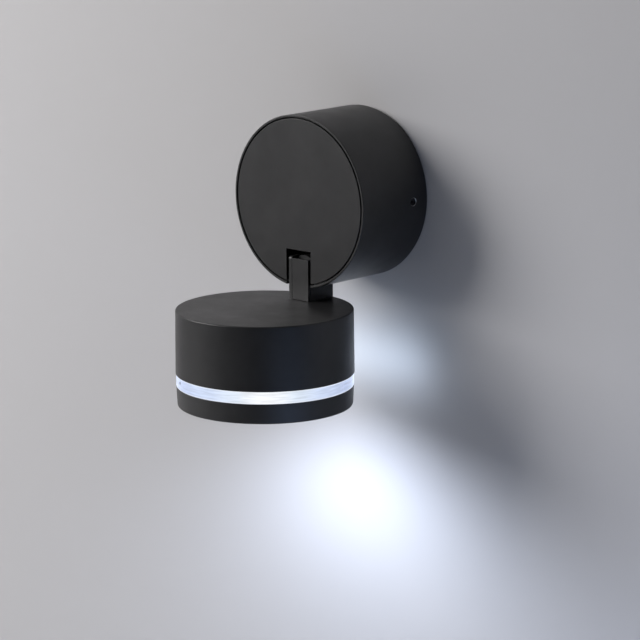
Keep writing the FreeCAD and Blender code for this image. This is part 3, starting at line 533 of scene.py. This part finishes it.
# ---------------------------------------------------------------- materials
MOULDED_TINTS, MOULDED_PATCHES, ROLLED_TINTS = 90.0, 60.0, 120.0     # patches per metre
CLEAR_ALPHA = 0.22
BAND_BODY = (0.03, 0.035, 0.045)
BAND_STREAKS, BAND_PATCHES = 900.0, 40.0        # per metre
BAND_ROUGH = (0.05, 0.12)
BAND_GLOW = (0.84, 1.10)        # weakest and strongest light of the streaks
BAND_EDGE_SHARE = 0.45
BAND_EDGE_LIGHT = (0.93, 0.96, 1.0)
BAND_LIGHT = (                  # from square on to edge on
    (0.02, (0.98, 0.99, 1.0)), (0.08, (0.76, 0.84, 0.95)), (0.22, (0.62, 0.71, 0.90)),
    (0.60, (0.50, 0.58, 0.80)), (0.97, (0.62, 0.71, 0.90)))
EMITTER_CELLS = (1400.0, 0.00003)       # per metre, depth
EMITTER_ROUGH = 0.4
EMITTER_GLOW = 6.0
EMITTER_COOL, EMITTER_WARM = (0.95, 0.97, 1.0), (1.0, 0.93, 0.70)


def rgb(red, green, blue):
    """A colour with full alpha."""
    return (red, green, blue, 1.0)


def new_material(name):
    """An empty node material and its Principled shader."""
    material = bpy.data.materials.new(name)
    material.use_nodes = True
    return material, material.node_tree, material.node_tree.nodes["Principled BSDF"]


def moulded(name, colour, second, rough, grain, metallic=0.0):
    """A coated, cast or moulded finish: (low, high) roughness and (per metre, depth) grain."""
    material, tree, shader = new_material(name)
    tint = group_use(tree, TINT, {"Colour": colour, "Second": second, "Per Metre": MOULDED_TINTS})
    patches = group_use(tree, PATCHES, {"Per Metre": MOULDED_PATCHES, "Low": rough[0],
                                        "High": rough[1]})
    bumps = group_use(tree, GRAIN, {"Per Metre": grain[0], "Depth": grain[1]})
    feed(tree, shader, {"Base Color": tint["Colour"], "Roughness": patches["Value"],
                        "Normal": bumps["Normal"], "Metallic": metallic})
    return material


def rolled_metal(name, colour, second, rough, lines):
    """Sheet, turned or drawn metal: (low, high) roughness and (per metre, depth) lines."""
    material, tree, shader = new_material(name)
    tint = group_use(tree, TINT, {"Colour": colour, "Second": second, "Per Metre": ROLLED_TINTS})
    drawn = group_use(tree, ROLLED, {"Lines Per Metre": lines[0], "Depth": lines[1],
                                     "Low": rough[0], "High": rough[1]})
    feed(tree, shader, {"Base Color": tint["Colour"], "Roughness": drawn["Roughness"],
                        "Normal": drawn["Normal"], "Metallic": 1.0})
    return material


def clear_web():
    """The clear web over the light: little colour, mostly seen by its shine."""
    material = moulded("clear web", rgb(0.82, 0.90, 0.95), rgb(0.86, 0.92, 0.96), (0.06, 0.12),
                       (700.0, 0.00001))
    material.node_tree.nodes["Principled BSDF"].inputs["Alpha"].default_value = CLEAR_ALPHA
    material.surface_render_method = "BLENDED"
    return material


def colour_ramp(tree, value, stops):
    """A colour that follows a value through the stops."""
    ramp = node(tree, "ShaderNodeValToRGB", {"Fac": value})
    for place, colour in stops[1:-1]:
        ramp.color_ramp.elements.new(place)
    for stop, (place, colour) in zip(ramp.color_ramp.elements, stops):
        stop.position = place
        stop.color = rgb(*colour)
    return ramp.outputs["Color"]


def lit_band():
    """The clear band with the lamp's light painted into it as a glow: white where seen square on,
    blue at its ends.
    """
    material, tree, shader = new_material("lit band")
    streaks = group_use(tree, STREAKS, {"Streaks Per Metre": BAND_STREAKS, "Middle": band_middle,
                                        "Half Height": (head_rim - bezel_top) / 2})
    patches = group_use(tree, PATCHES, {"Per Metre": BAND_PATCHES, "Low": BAND_ROUGH[0],
                                        "High": BAND_ROUGH[1]})
    facing = node(tree, "ShaderNodeLayerWeight", {"Blend": 0.5}).outputs["Facing"]
    light = colour_ramp(tree, facing, BAND_LIGHT)
    edge_share = arithmetic(tree, "MULTIPLY", streaks["Edge"], BAND_EDGE_SHARE)
    edged = mixed(tree, edge_share, light, rgb(*BAND_EDGE_LIGHT))
    level = ranged(tree, streaks["Streak"], (0.0, 1.0), BAND_GLOW[0] / BAND_GLOW[1], 1.0)
    feed(tree, shader, {"Base Color": rgb(*BAND_BODY), "Roughness": patches["Value"],
                        "Emission Color": mixed(tree, 1.0, edged, level, "MULTIPLY"),
                        "Emission Strength": BAND_GLOW[1]})
    return material


def lit_emitter():
    """The emitter's face: cool white with warm cells, and a fine grain."""
    material, tree, shader = new_material("lit emitter")
    per_metre, depth = EMITTER_CELLS
    tint = group_use(tree, TINT, {"Colour": rgb(*EMITTER_COOL), "Second": rgb(*EMITTER_WARM),
                                  "Per Metre": per_metre})
    bumps = group_use(tree, GRAIN, {"Per Metre": per_metre, "Depth": depth})
    feed(tree, shader, {"Emission Color": tint["Colour"], "Emission Strength": EMITTER_GLOW,
                        "Normal": bumps["Normal"], "Roughness": EMITTER_ROUGH})
    return material


POWDER = moulded("black powder coat", rgb(0.012, 0.012, 0.0125), rgb(0.016, 0.016, 0.017),
                 (0.36, 0.44), (2800.0, 0.00006))
# a bright, nearly bare-metal colour for the chamfers of the set screws' holes: a painted highlight
# where the chamfers catch the light
CHAMFER_PAINTED_HIGHLIGHT = moulded("painted highlight on hole chamfers", rgb(0.66, 0.66, 0.67), rgb(0.42, 0.42, 0.43),
                      (0.3, 0.45), (2500.0, 0.00002), metallic=0.8)
# dark blue for the faces of the band's gate dimple: painted shade, a dark spot in the band's painted
# glow
GATE_DIMPLE_SHADE = moulded("painted shade in gate dimple", rgb(0.05, 0.07, 0.14), rgb(0.08, 0.10, 0.18),
                    (0.3, 0.4), (1500.0, 0.00001))
# the black coat made smoother for the arm, and lighter as painted light that lifts the arm out of the
# shade it renders in
ARM_COAT_PAINTED_LIGHT = moulded("smoother black coat with painted light on arm", rgb(0.018, 0.018, 0.0185),
                    rgb(0.024, 0.024, 0.025), (0.34, 0.42), (2800.0, 0.00003))
ZINC = rolled_metal("zinc-plated steel", rgb(0.60, 0.61, 0.64), rgb(0.56, 0.58, 0.61),
                    (0.34, 0.42), (900.0, 0.000004))
BLACK_STEEL = moulded("blacked steel", rgb(0.035, 0.035, 0.037), rgb(0.05, 0.05, 0.052),
                      (0.35, 0.5), (1500.0, 0.00002), metallic=0.6)
STEEL = rolled_metal("bright steel", rgb(0.60, 0.60, 0.61), rgb(0.52, 0.52, 0.54),
                     (0.22, 0.38), (2500.0, 0.000006))
BRASS = rolled_metal("brass", rgb(0.72, 0.55, 0.24), rgb(0.64, 0.46, 0.19),
                     (0.2, 0.36), (2500.0, 0.000006))
ALUMINIUM = rolled_metal("bare aluminium", rgb(0.76, 0.77, 0.78), rgb(0.70, 0.71, 0.72),
                         (0.3, 0.45), (1800.0, 0.00001))
MIRROR = rolled_metal("spun reflector", rgb(0.86, 0.87, 0.88), rgb(0.80, 0.82, 0.84),
                      (0.10, 0.2), (1200.0, 0.000008))
RUBBER = moulded("black rubber", rgb(0.020, 0.020, 0.021), rgb(0.030, 0.030, 0.031),
                 (0.6, 0.75), (1800.0, 0.00003))
FOAM = moulded("closed-cell foam", rgb(0.045, 0.045, 0.047), rgb(0.07, 0.07, 0.072),
               (0.85, 0.95), (1600.0, 0.00015))
SILICONE = moulded("pale silicone", rgb(0.60, 0.62, 0.64), rgb(0.64, 0.66, 0.68),
                   (0.45, 0.6), (1200.0, 0.00001))
FIBRE = moulded("graphited fibre", rgb(0.10, 0.09, 0.08), rgb(0.07, 0.065, 0.06),
                (0.6, 0.75), (2500.0, 0.00003))
TERMINAL = moulded("terminal plastic", rgb(0.62, 0.62, 0.58), rgb(0.58, 0.58, 0.54),
                   (0.35, 0.5), (1800.0, 0.00001))
DRIVER = moulded("driver case plastic", rgb(0.68, 0.69, 0.70), rgb(0.63, 0.64, 0.66),
                 (0.45, 0.58), (2000.0, 0.00003))
BOARD_WHITE = moulded("board lacquer", rgb(0.82, 0.83, 0.82), rgb(0.77, 0.78, 0.77),
                      (0.3, 0.42), (1500.0, 0.00001))
CONNECTOR = moulded("connector plastic", rgb(0.80, 0.79, 0.74), rgb(0.76, 0.75, 0.70),
                    (0.35, 0.5), (1800.0, 0.00001))
SHEATH = moulded("black lead sheath", rgb(0.022, 0.022, 0.023), rgb(0.03, 0.03, 0.031),
                 (0.45, 0.6), (1500.0, 0.00002))
EARTH = moulded("green earth sheath", rgb(0.08, 0.30, 0.06), rgb(0.45, 0.46, 0.04),
                (0.45, 0.6), (1500.0, 0.00002))
CLEAR_WEB = clear_web()
LIT_BAND = lit_band()
LIT_EMITTER = lit_emitter()

KEPT = {
    "rear_gasket": FOAM, "wall_bracket": ZINC, "cable_grommet": RUBBER, "earth_screw": STEEL,
    "earth_lug": BRASS, "terminal_block": TERMINAL, "terminal_clamps": BRASS,
    "terminal_screws": STEEL, "set_screws": BLACK_STEEL, "front_plate_nuts": STEEL,
    "hinge_yoke": BLACK_STEEL, "yoke_screws": BLACK_STEEL, "pivot_bolt": BLACK_STEEL,
    "pivot_nut": BLACK_STEEL, "spring_washer": BLACK_STEEL, "friction_washers": FIBRE,
    "arm_plug": RUBBER, "pivot_sleeve": STEEL, "arm_screws": STEEL, "lead_bush": RUBBER,
    "lens_seal": SILICONE, "heat_spreader": ALUMINIUM, "spreader_screws": STEEL,
    "light_board": BOARD_WHITE, "board_screws": STEEL, "board_connector": CONNECTOR,
    "light_emitter": LIT_EMITTER, "driver_case": DRIVER, "driver_screws": STEEL,
    # the arm's two nodes get the lightened coat, painted light against their shade
    "hinge_arm": ARM_COAT_PAINTED_LIGHT, "arm_front_cover": ARM_COAT_PAINTED_LIGHT,
}
SOFTENED = ("hinge_arm", "arm_front_cover", "hinge_yoke", "driver_case", "wall_bracket")


def dress_kept_nodes():
    """Materials for the nodes that are kept, some of them with their edges broken a little."""
    for name, material in KEPT.items():
        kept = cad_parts[name]
        paint(kept, material)
        if name in SOFTENED:
            soft_edges(kept, SOFTENED_EDGE)


# ---------------------------------------------------------------- base drum
def stud_bars(name, radius, front, back):
    """Round bars where the front plate's studs are."""
    circle = drum_inner - LEDGE_WIDTH + STUD_FROM_LEDGE_EDGE
    return [bar(name, radius, polar(along_drum, circle, a, front),
                polar(along_drum, circle, a, back)) for a in STUD_ANGLES]


def base_housing():
    """Cast drum with its lip, plate ledge, arm slot, set-screw holes and posts."""
    lip_inner = drum_radius - LIP
    ledge_back = plate_back + LEDGE_THICKNESS
    ledge_inner = drum_inner - LEDGE_WIDTH
    corners = ((drum_inner, drum_rear), (drum_radius, drum_rear, DRUM_REAR_ROUND),
               (drum_radius, drum_front, DRUM_RIM_ROUND), (lip_inner, drum_front, LIP_ROUND),
               (lip_inner, plate_back), (ledge_inner, plate_back),
               (ledge_inner, ledge_back), (drum_inner, ledge_back))
    drum = turned("base_drum", corners, along_drum)
    slot = slab("slot", (-SLOT_HALF, drum_front - PAST, -drum_radius - PAST),
                (SLOT_HALF, pivot.y + ARM_REACH + SLOT_REAR_AIR, pivot.z))
    cut(drum, slot, *side_holes(),
        *stud_bars("stud hole", STUD_HOLE_RADIUS, plate_back - PAST, ledge_back + PAST))
    join(drum, *wall_posts())
    settle(drum, POWDER, "base", "powder_coat", "base_housing")
    # painted highlight on the chamfers of the holes' mouths
    tag_faces(drum, CHAMFER_PAINTED_HIGHLIGHT, in_hole_mouth)


def side_holes():
    """Cutters for the two set screws' holes and for the chamfers of their mouths."""
    holes, mouths = [], []
    at = Vector((0, SET_SCREW_Y, 0))
    for side in (-1, 1):
        across = Vector((side, 0, 0))
        holes.append(bar("hole", SIDE_HOLE, at + across * (drum_inner - PAST),
                         at + across * (drum_radius + PAST)))
        mouths.append(bar("mouth", SIDE_HOLE, at + across * (drum_radius - SIDE_CHAMFER),
                          at + across * (drum_radius + SIDE_CHAMFER),
                          end_radius=SIDE_HOLE + 2 * SIDE_CHAMFER))
    return holes + mouths


def in_hole_mouth(point):
    """Whether a point lies on the chamfer of a set screw's hole."""
    from_axis = math.hypot(point.y - SET_SCREW_Y, point.z)
    # just past the chamfer's foot, and just inside its two rims
    deepest = drum_radius - 1.2 * SIDE_CHAMFER
    inner, outer = SIDE_HOLE * 1.02, SIDE_HOLE + 0.98 * SIDE_CHAMFER
    return abs(point.x) > deepest and inner < from_axis < outer


def wall_posts():
    """The cast posts that carry the hinge yoke and the driver, each with a rib out to the wall."""
    yoke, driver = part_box("hinge_yoke"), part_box("driver_case")
    yoke_screws, driver_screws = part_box("yoke_screws"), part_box("driver_screws")
    posts = []
    for screws, front, (radius, length) in ((yoke_screws, yoke[1][1], YOKE_POST),
                                            (driver_screws, driver[1][1], DRIVER_POST)):
        z = (screws[0][2] + screws[1][2]) / 2
        x = screws[1][0] - (screws[1][2] - screws[0][2]) / 2
        for side in (-1, 1):
            here = Vector((side * x, front, z))
            posts.append(bar("post", radius, here, here + Vector((0, length, 0))))
            posts.append(wall_rib(here, length))
    return posts


def wall_rib(here, length):
    """A rib from a post out into the drum's wall."""
    out = Vector((here.x, 0, here.z)).normalized()
    aside = Vector((-out.z, 0, out.x)) * (POST_RIB / 2)
    near, far = Vector((here.x, 0, here.z)), out * (drum_inner + WALL / 2)
    corners = [(p.x, p.z) for p in (near - aside, far - aside, far + aside, near + aside)]
    return extruded("rib", corners, lambda x, z, y: Vector((x, y, z)), here.y, here.y + length)


def front_plate():
    """Flush front disc with the arm's notch and its three studs."""
    radius = PLATE[1][0]
    corners = ((0, drum_front), (radius, drum_front, PLATE_ROUND), (radius, plate_back),
               (0, plate_back))
    plate = turned("front_disc", corners, along_drum)
    notch_top = pivot.z + ARM_REACH + NOTCH_AIR
    notch = slab("notch", (-SLOT_HALF, drum_front - PAST, -drum_radius),
                 (SLOT_HALF, plate_back + PAST, notch_top))
    cut(plate, notch)
    join(plate, *stud_bars("stud", STUD_RADIUS, plate_back - ROOT, PLATE[1][1]))
    settle(plate, POWDER, "base", "powder_coat", "front_plate")


# ---------------------------------------------------------------- spotlight drum
def head_housing():
    """Cast cup of the spotlight, with its rounded top edge, its threaded rim and its posts."""
    land = head_rim + SKIRT_HEIGHT + SKIRT_AIR
    bore = thread_radius + THREAD_AIR
    ceiling = head_top - HEAD_TOP_WALL
    corners = ((0, head_top), (top_radius, head_top, HEAD_TOP_ROUND),
               (rim_radius, head_rim, HEAD_RIM_ROUND), (bore, head_rim), (bore, land),
               (top_radius - WALL, land + WALL), (top_radius - WALL, ceiling, CEILING_ROUND),
               (0, ceiling))
    cup = turned("spotlight_cup", corners, along_spot)
    circle, foot = SPREADER[1][0] - SPREADER_SCREW_INSET, SPREADER[1][2]
    join(cup, *[bar("post", SPREADER_POST, polar(along_spot, circle, a, foot),
                    polar(along_spot, circle, a, ceiling + ROOT)) for a in SPREADER_ANGLES])
    settle(cup, POWDER, "head", "powder_coat", "head_housing")


def lens_band():
    """The clear band between the cup and the bezel, with its gate dimple."""
    corners = ((thread_radius, head_rim), (lens_radius, head_rim, BAND_ROUND),
               (lens_radius, bezel_top, BAND_ROUND), (thread_radius, bezel_top))
    band = turned("clear_band", corners, along_spot)
    across = Vector((math.cos(GATE_ANGLE), math.sin(GATE_ANGLE), 0))
    centre = along_spot(0, 0, bezel_top + GATE_RISE) + across * lens_radius
    cut(band, bar("dimple", GATE_RADIUS, centre - across * GATE_DEPTH,
                  centre + across * GATE_DEPTH))
    settle(band, LIT_BAND, "head", "clear_lens", "lens_ring")
    # painted shade on the dimple's faces
    tag_faces(band, GATE_DIMPLE_SHADE, in_gate_dimple)


def in_gate_dimple(point):
    """Whether a point lies inside the band's skin, on the walls or the floor of the dimple."""
    from_axis = math.hypot(point.x, point.y - spot_y)
    inner, outer = thread_radius + GATE_DEPTH, lens_radius - 0.3 * GATE_DEPTH
    return inner < from_axis < outer and bezel_top < point.z < head_rim


def lens_web():
    """The clear web across the spotlight, with the moulding's two skirts."""
    skirt_inner = thread_radius - SKIRT_WALL
    low = web_top - LENS_WEB
    corners = ((0, low), (0, web_top), (skirt_inner, web_top),
               (skirt_inner, head_rim + SKIRT_HEIGHT), (thread_radius, head_rim + SKIRT_HEIGHT),
               (thread_radius, bezel_top - SKIRT_HEIGHT), (skirt_inner, bezel_top - SKIRT_HEIGHT),
               (skirt_inner, low))
    web = turned("clear_web", corners, along_spot)
    settle(web, CLEAR_WEB, "head", "clear_lens", "lens_ring")


def bezel():
    """Tapered ring with a broken outer edge and a flared mouth."""
    shelf = bezel_top - SKIRT_HEIGHT - SKIRT_AIR
    bore = thread_radius + THREAD_AIR
    corners = ((bore, bezel_top), (bezel_radius, bezel_top, BEZEL_TOP_ROUND),
               (bezel_radius - BEZEL_TAPER, bezel_low, BEZEL_LOW_ROUND),
               (bezel_inner + MOUTH_FLARE[0], bezel_low, MOUTH_ROUND),
               (bezel_inner, bezel_low + MOUTH_FLARE[1], THROAT_ROUND),
               (bezel_inner, shelf), (bore, shelf))
    ring = turned("bezel_ring", corners, along_spot)
    settle(ring, POWDER, "head", "powder_coat", "bezel")


def bowl_curve(start, knee, end):
    """A smooth curve that leaves and reaches its ends along the lines to the knee."""
    steps = [i / BOWL_STEPS for i in range(BOWL_STEPS + 1)]
    return [(1 - t) ** 2 * start + 2 * t * (1 - t) * knee + t ** 2 * end for t in steps]


def reflector():
    """Spun bowl from the emitter out to the clear web, rounded inside the solid's two cones."""
    neck = Vector((REFLECTOR_NECK, REFLECTOR[1][2]))
    mouth = Vector((bezel_inner - REFLECTOR_INSET, REFLECTOR[0][2]))
    knee = Vector((neck.x + REFLECTOR_KNEE[0] * (mouth.x - neck.x),
                   neck.y + REFLECTOR_KNEE[1] * (mouth.y - neck.y)))
    out, both = Vector((REFLECTOR_SHEET, 0)), Vector((REFLECTOR_SHEET, REFLECTOR_SHEET))
    flange, low = REFLECTOR[1][0], mouth.y
    rim = [Vector((flange, low)), Vector((flange, low + REFLECTOR_SHEET))]
    inside = bowl_curve(neck, knee, mouth)
    outside = bowl_curve(mouth + both, knee + both, neck + out)
    bowl = turned("reflector_bowl", inside + rim + outside, along_spot, BOWL_TURN_STEPS)
    settle(bowl, MIRROR, "head", "reflector", "reflector")


# ---------------------------------------------------------------- leads, in millimetres
WIRE_RADIUS, LEAD_RADIUS, CORE_RADIUS = 1.1, 1.75, 1.0
MAINS_BEND, EARTH_BEND, LEAD_BEND, CORE_BEND = 6.0, 3.4, 3.6, 1.6
SLACK_START, SLACK_END = (0, -38.95, -31.2), (25, -38.95, -16)
LEADS = (       # name, node, body (none: it spans both), radius, bend, route
    ("mains_lead_left", "mains_leads", "base", WIRE_RADIUS, MAINS_BEND,
     ((-8.5, -8.5, 29), (-8.5, -8.5, 37.5), (-8.5, -37, 37.5), (-8.5, -37, 18))),
    ("mains_lead_right", "mains_leads", "base", WIRE_RADIUS, MAINS_BEND,
     ((8.5, -8.5, 29), (8.5, -8.5, 37.5), (8.5, -37, 37.5), (8.5, -37, 18))),
    ("earth_wire", "earth_lead", "base", WIRE_RADIUS, EARTH_BEND,
     ((0, -8.5, 29), (0, -8.5, 37.5), (24, -3.9, 37.5), (24, -3.9, 28))),
    ("slack_sheath", "slack_lead", None, LEAD_RADIUS, LEAD_BEND,
     (SLACK_START, (0, -38.95, -22.7), (25, -38.95, -22.7), SLACK_END)),
    ("lamp_sheath", "lamp_lead", "head", LEAD_RADIUS, LEAD_BEND,
     ((0, -38.95, -31.2), (0, -38.95, -44.35), (0, -45, -50.85), (0, -45, -66), (0, -58, -66),
      (0, -58, -74))),
    ("lamp_core", "lamp_lead", "head", CORE_RADIUS, CORE_BEND,
     ((0, -58, -74), (0, -58, -77.1), (0, -64.4, -77.1))),
)


def leads():
    """The round leads inside the drums; the slack stretch runs in bends between the two bodies and is
    fixed to neither.
    """
    for name, node_name, body, radius, bend, points in LEADS:
        piece = tube(name, [Vector(p) * MM for p in points], radius * MM, bend * MM)
        earth = name == "earth_wire"
        paint(piece, EARTH if earth else SHEATH)
        shade(piece)
        if body:
            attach(piece, body)
        else:
            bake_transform(piece)
        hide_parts(node_name)


# ---------------------------------------------------------------- camera
CAMERA_AZIMUTH = math.radians(42.64)
CAMERA_ELEVATION = math.radians(12.24)
CAMERA_ROLL = math.radians(-0.30)
CAMERA_PLACE = Vector((1.12385, -1.25798, 0.28793))
CAMERA_LENS = 164.37            # millimetres, as the sensor
CAMERA_SENSOR = 36.0
CAMERA_NEAREST = 0.05


def place_camera():
    """The camera where the photograph was taken from."""
    az, el, roll = CAMERA_AZIMUTH, CAMERA_ELEVATION, CAMERA_ROLL
    back = Vector((math.sin(az) * math.cos(el), -math.cos(az) * math.cos(el), math.sin(el)))
    right = Vector((math.cos(az), math.sin(az), 0))
    up = back.cross(right)
    across = math.cos(roll) * right + math.sin(roll) * up
    upright = -math.sin(roll) * right + math.cos(roll) * up
    turn = Matrix((across, upright, back)).transposed().to_4x4()
    data = bpy.data.cameras.new("camera")
    data.lens = CAMERA_LENS
    data.sensor_width = CAMERA_SENSOR
    data.clip_start = CAMERA_NEAREST
    camera = in_scene("camera", data)
    camera.matrix_world = Matrix.Translation(CAMERA_PLACE) @ turn
    bpy.context.scene.camera = camera


# ---------------------------------------------------------------- light and room
ROOM_HALF, ROOM_TOP, ROOM_FRONT = 2, 1.4, -3
WALL_Y = 0.4 * MM
FLOOR_Z = -0.42
WALL_OPENING = 0.94 * drum_radius
WALL_PAINT, FLOOR_PAINT = (0.56, 0.555, 0.56), (0.62, 0.62, 0.63)
PAINT_ROUGH, PAINT_SHINE = 0.9, 0.1
AIR_COLOUR, AIR_STRENGTH = (0.78, 0.82, 0.92), 0.015
PANELS = (      # name, place, point that it faces, size, watts, colour, spread in degrees
    ("key", (-1.25, -1.15, 0.72), (0, 0, 0), (1.1, 1.1), 32, (1.0, 0.985, 0.985), 180),
    ("top", (-0.3, -0.35, 1.3), (0, -0.05, 0), (0.8, 0.5), 1.5, (1.0, 0.99, 0.98), 180),
    ("low glow", (0.42, -0.20, -0.40), (0, -0.06, -0.06), (0.35, 0.35), 0.75,
     (0.42, 0.60, 1.0), 180),
    ("ring glow", (0, spot_y + lens_radius + 4 * MM, band_middle), (0, 0, band_middle),
     (1.9 * lens_radius, 8 * MM), 0.013, (0.66, 0.80, 1.0), 140),
    ("rear", (0.6, 1.3, 0.5), (0, 0, 0), (0.9, 0.9), 18, (1.0, 1.0, 1.0), 180),
)
LAMP_WATTS, LAMP_COLOUR = 1.4, (0.70, 0.80, 1.0)
LAMP_CONE, LAMP_BLEND, LAMP_SIZE = math.radians(156), 0.7, 0.03
LAMP_UNDER_MOUTH = 2 * MM


def area_light(name, place, aim, size, power, colour, spread):
    """A soft panel that faces a point; a spread under 180 degrees narrows its light."""
    data = bpy.data.lights.new(name, "AREA")
    data.shape = "RECTANGLE"
    data.size, data.size_y = size
    data.energy = power
    data.color = colour
    data.spread = math.radians(spread)
    facing = (Vector(aim) - Vector(place)).to_track_quat("-Z", "Y").to_matrix().to_4x4()
    in_scene(name, data).matrix_world = Matrix.Translation(place) @ facing


def lamp_light():
    """The light that the spotlight throws down, from just under its mouth."""
    data = bpy.data.lights.new("lamp", "SPOT")
    data.energy = LAMP_WATTS
    data.color = LAMP_COLOUR
    data.spot_size = LAMP_CONE
    data.spot_blend = LAMP_BLEND
    data.shadow_soft_size = LAMP_SIZE
    in_scene("lamp", data).location = along_spot(0, 0, bezel_low - LAMP_UNDER_MOUTH)


def stage_material(name, colour):
    """A plain matt surface that is only there from its front."""
    material, tree, shader = new_material(name)
    feed(tree, shader, {"Base Color": rgb(*colour), "Roughness": PAINT_ROUGH,
                        "Specular IOR Level": PAINT_SHINE})
    side = node(tree, "ShaderNodeNewGeometry")
    nothing = node(tree, "ShaderNodeBsdfTransparent")
    shown = node(tree, "ShaderNodeMixShader", {0: side.outputs["Backfacing"], 1: shader.outputs[0],
                                               2: nothing.outputs[0]})
    feed(tree, tree.nodes["Material Output"], {"Surface": shown.outputs[0]})
    return material


def stage_plane(name, corners, material):
    """One flat face of the room; its corners run anticlockwise as seen from its front."""
    mesh = bpy.data.meshes.new(name)
    mesh.from_pydata([Vector(c) for c in corners], [], [(0, 1, 2, 3)])
    mesh.materials.append(material)
    plane = in_scene(name, mesh)


def stage_wall(material):
    """The wall, with a round opening hidden by the base drum, through which its back is lit."""
    bm = bmesh.new()
    corners = ((-ROOM_HALF, FLOOR_Z), (ROOM_HALF, FLOOR_Z), (ROOM_HALF, ROOM_TOP),
               (-ROOM_HALF, ROOM_TOP))
    outline = [bm.verts.new((x, WALL_Y, z)) for x, z in corners]
    opening = [bm.verts.new(polar(along_drum, WALL_OPENING, 360 * i / SMALL_STEPS, WALL_Y))
               for i in range(SMALL_STEPS)]
    edges = [bm.edges.new((loop[i - 1], loop[i]))
             for loop in (outline, opening) for i in range(len(loop))]
    bmesh.ops.triangle_fill(bm, edges=edges, use_beauty=True)
    bm.normal_update()
    bmesh.ops.reverse_faces(bm, faces=[face for face in bm.faces if face.normal.y > 0])
    mesh = bpy.data.meshes.new("wall")
    bm.to_mesh(mesh)
    bm.free()
    mesh.materials.append(material)
    wall = in_scene("wall", mesh)


def build_room():
    """A plain wall behind the light, a pale floor well below it, and dim air round them."""
    wall = stage_material("wall paint", WALL_PAINT)
    floor = stage_material("floor", FLOOR_PAINT)
    stage_wall(wall)
    stage_plane("floor", ((-ROOM_HALF, ROOM_FRONT, FLOOR_Z), (ROOM_HALF, ROOM_FRONT, FLOOR_Z),
                          (ROOM_HALF, WALL_Y, FLOOR_Z), (-ROOM_HALF, WALL_Y, FLOOR_Z)), floor)
    world = bpy.data.worlds.new("air")
    world.use_nodes = True
    air = world.node_tree.nodes["Background"]
    feed(world.node_tree, air, {"Color": rgb(*AIR_COLOUR), "Strength": AIR_STRENGTH})
    bpy.context.scene.world = world
    for panel in PANELS:
        area_light(*panel)
    lamp_light()


dress_kept_nodes()
base_housing()
front_plate()
head_housing()
lens_band()
lens_web()
bezel()
reflector()
leads()
place_camera()
build_room()
bpy.context.scene.view_settings.view_transform = "Standard"
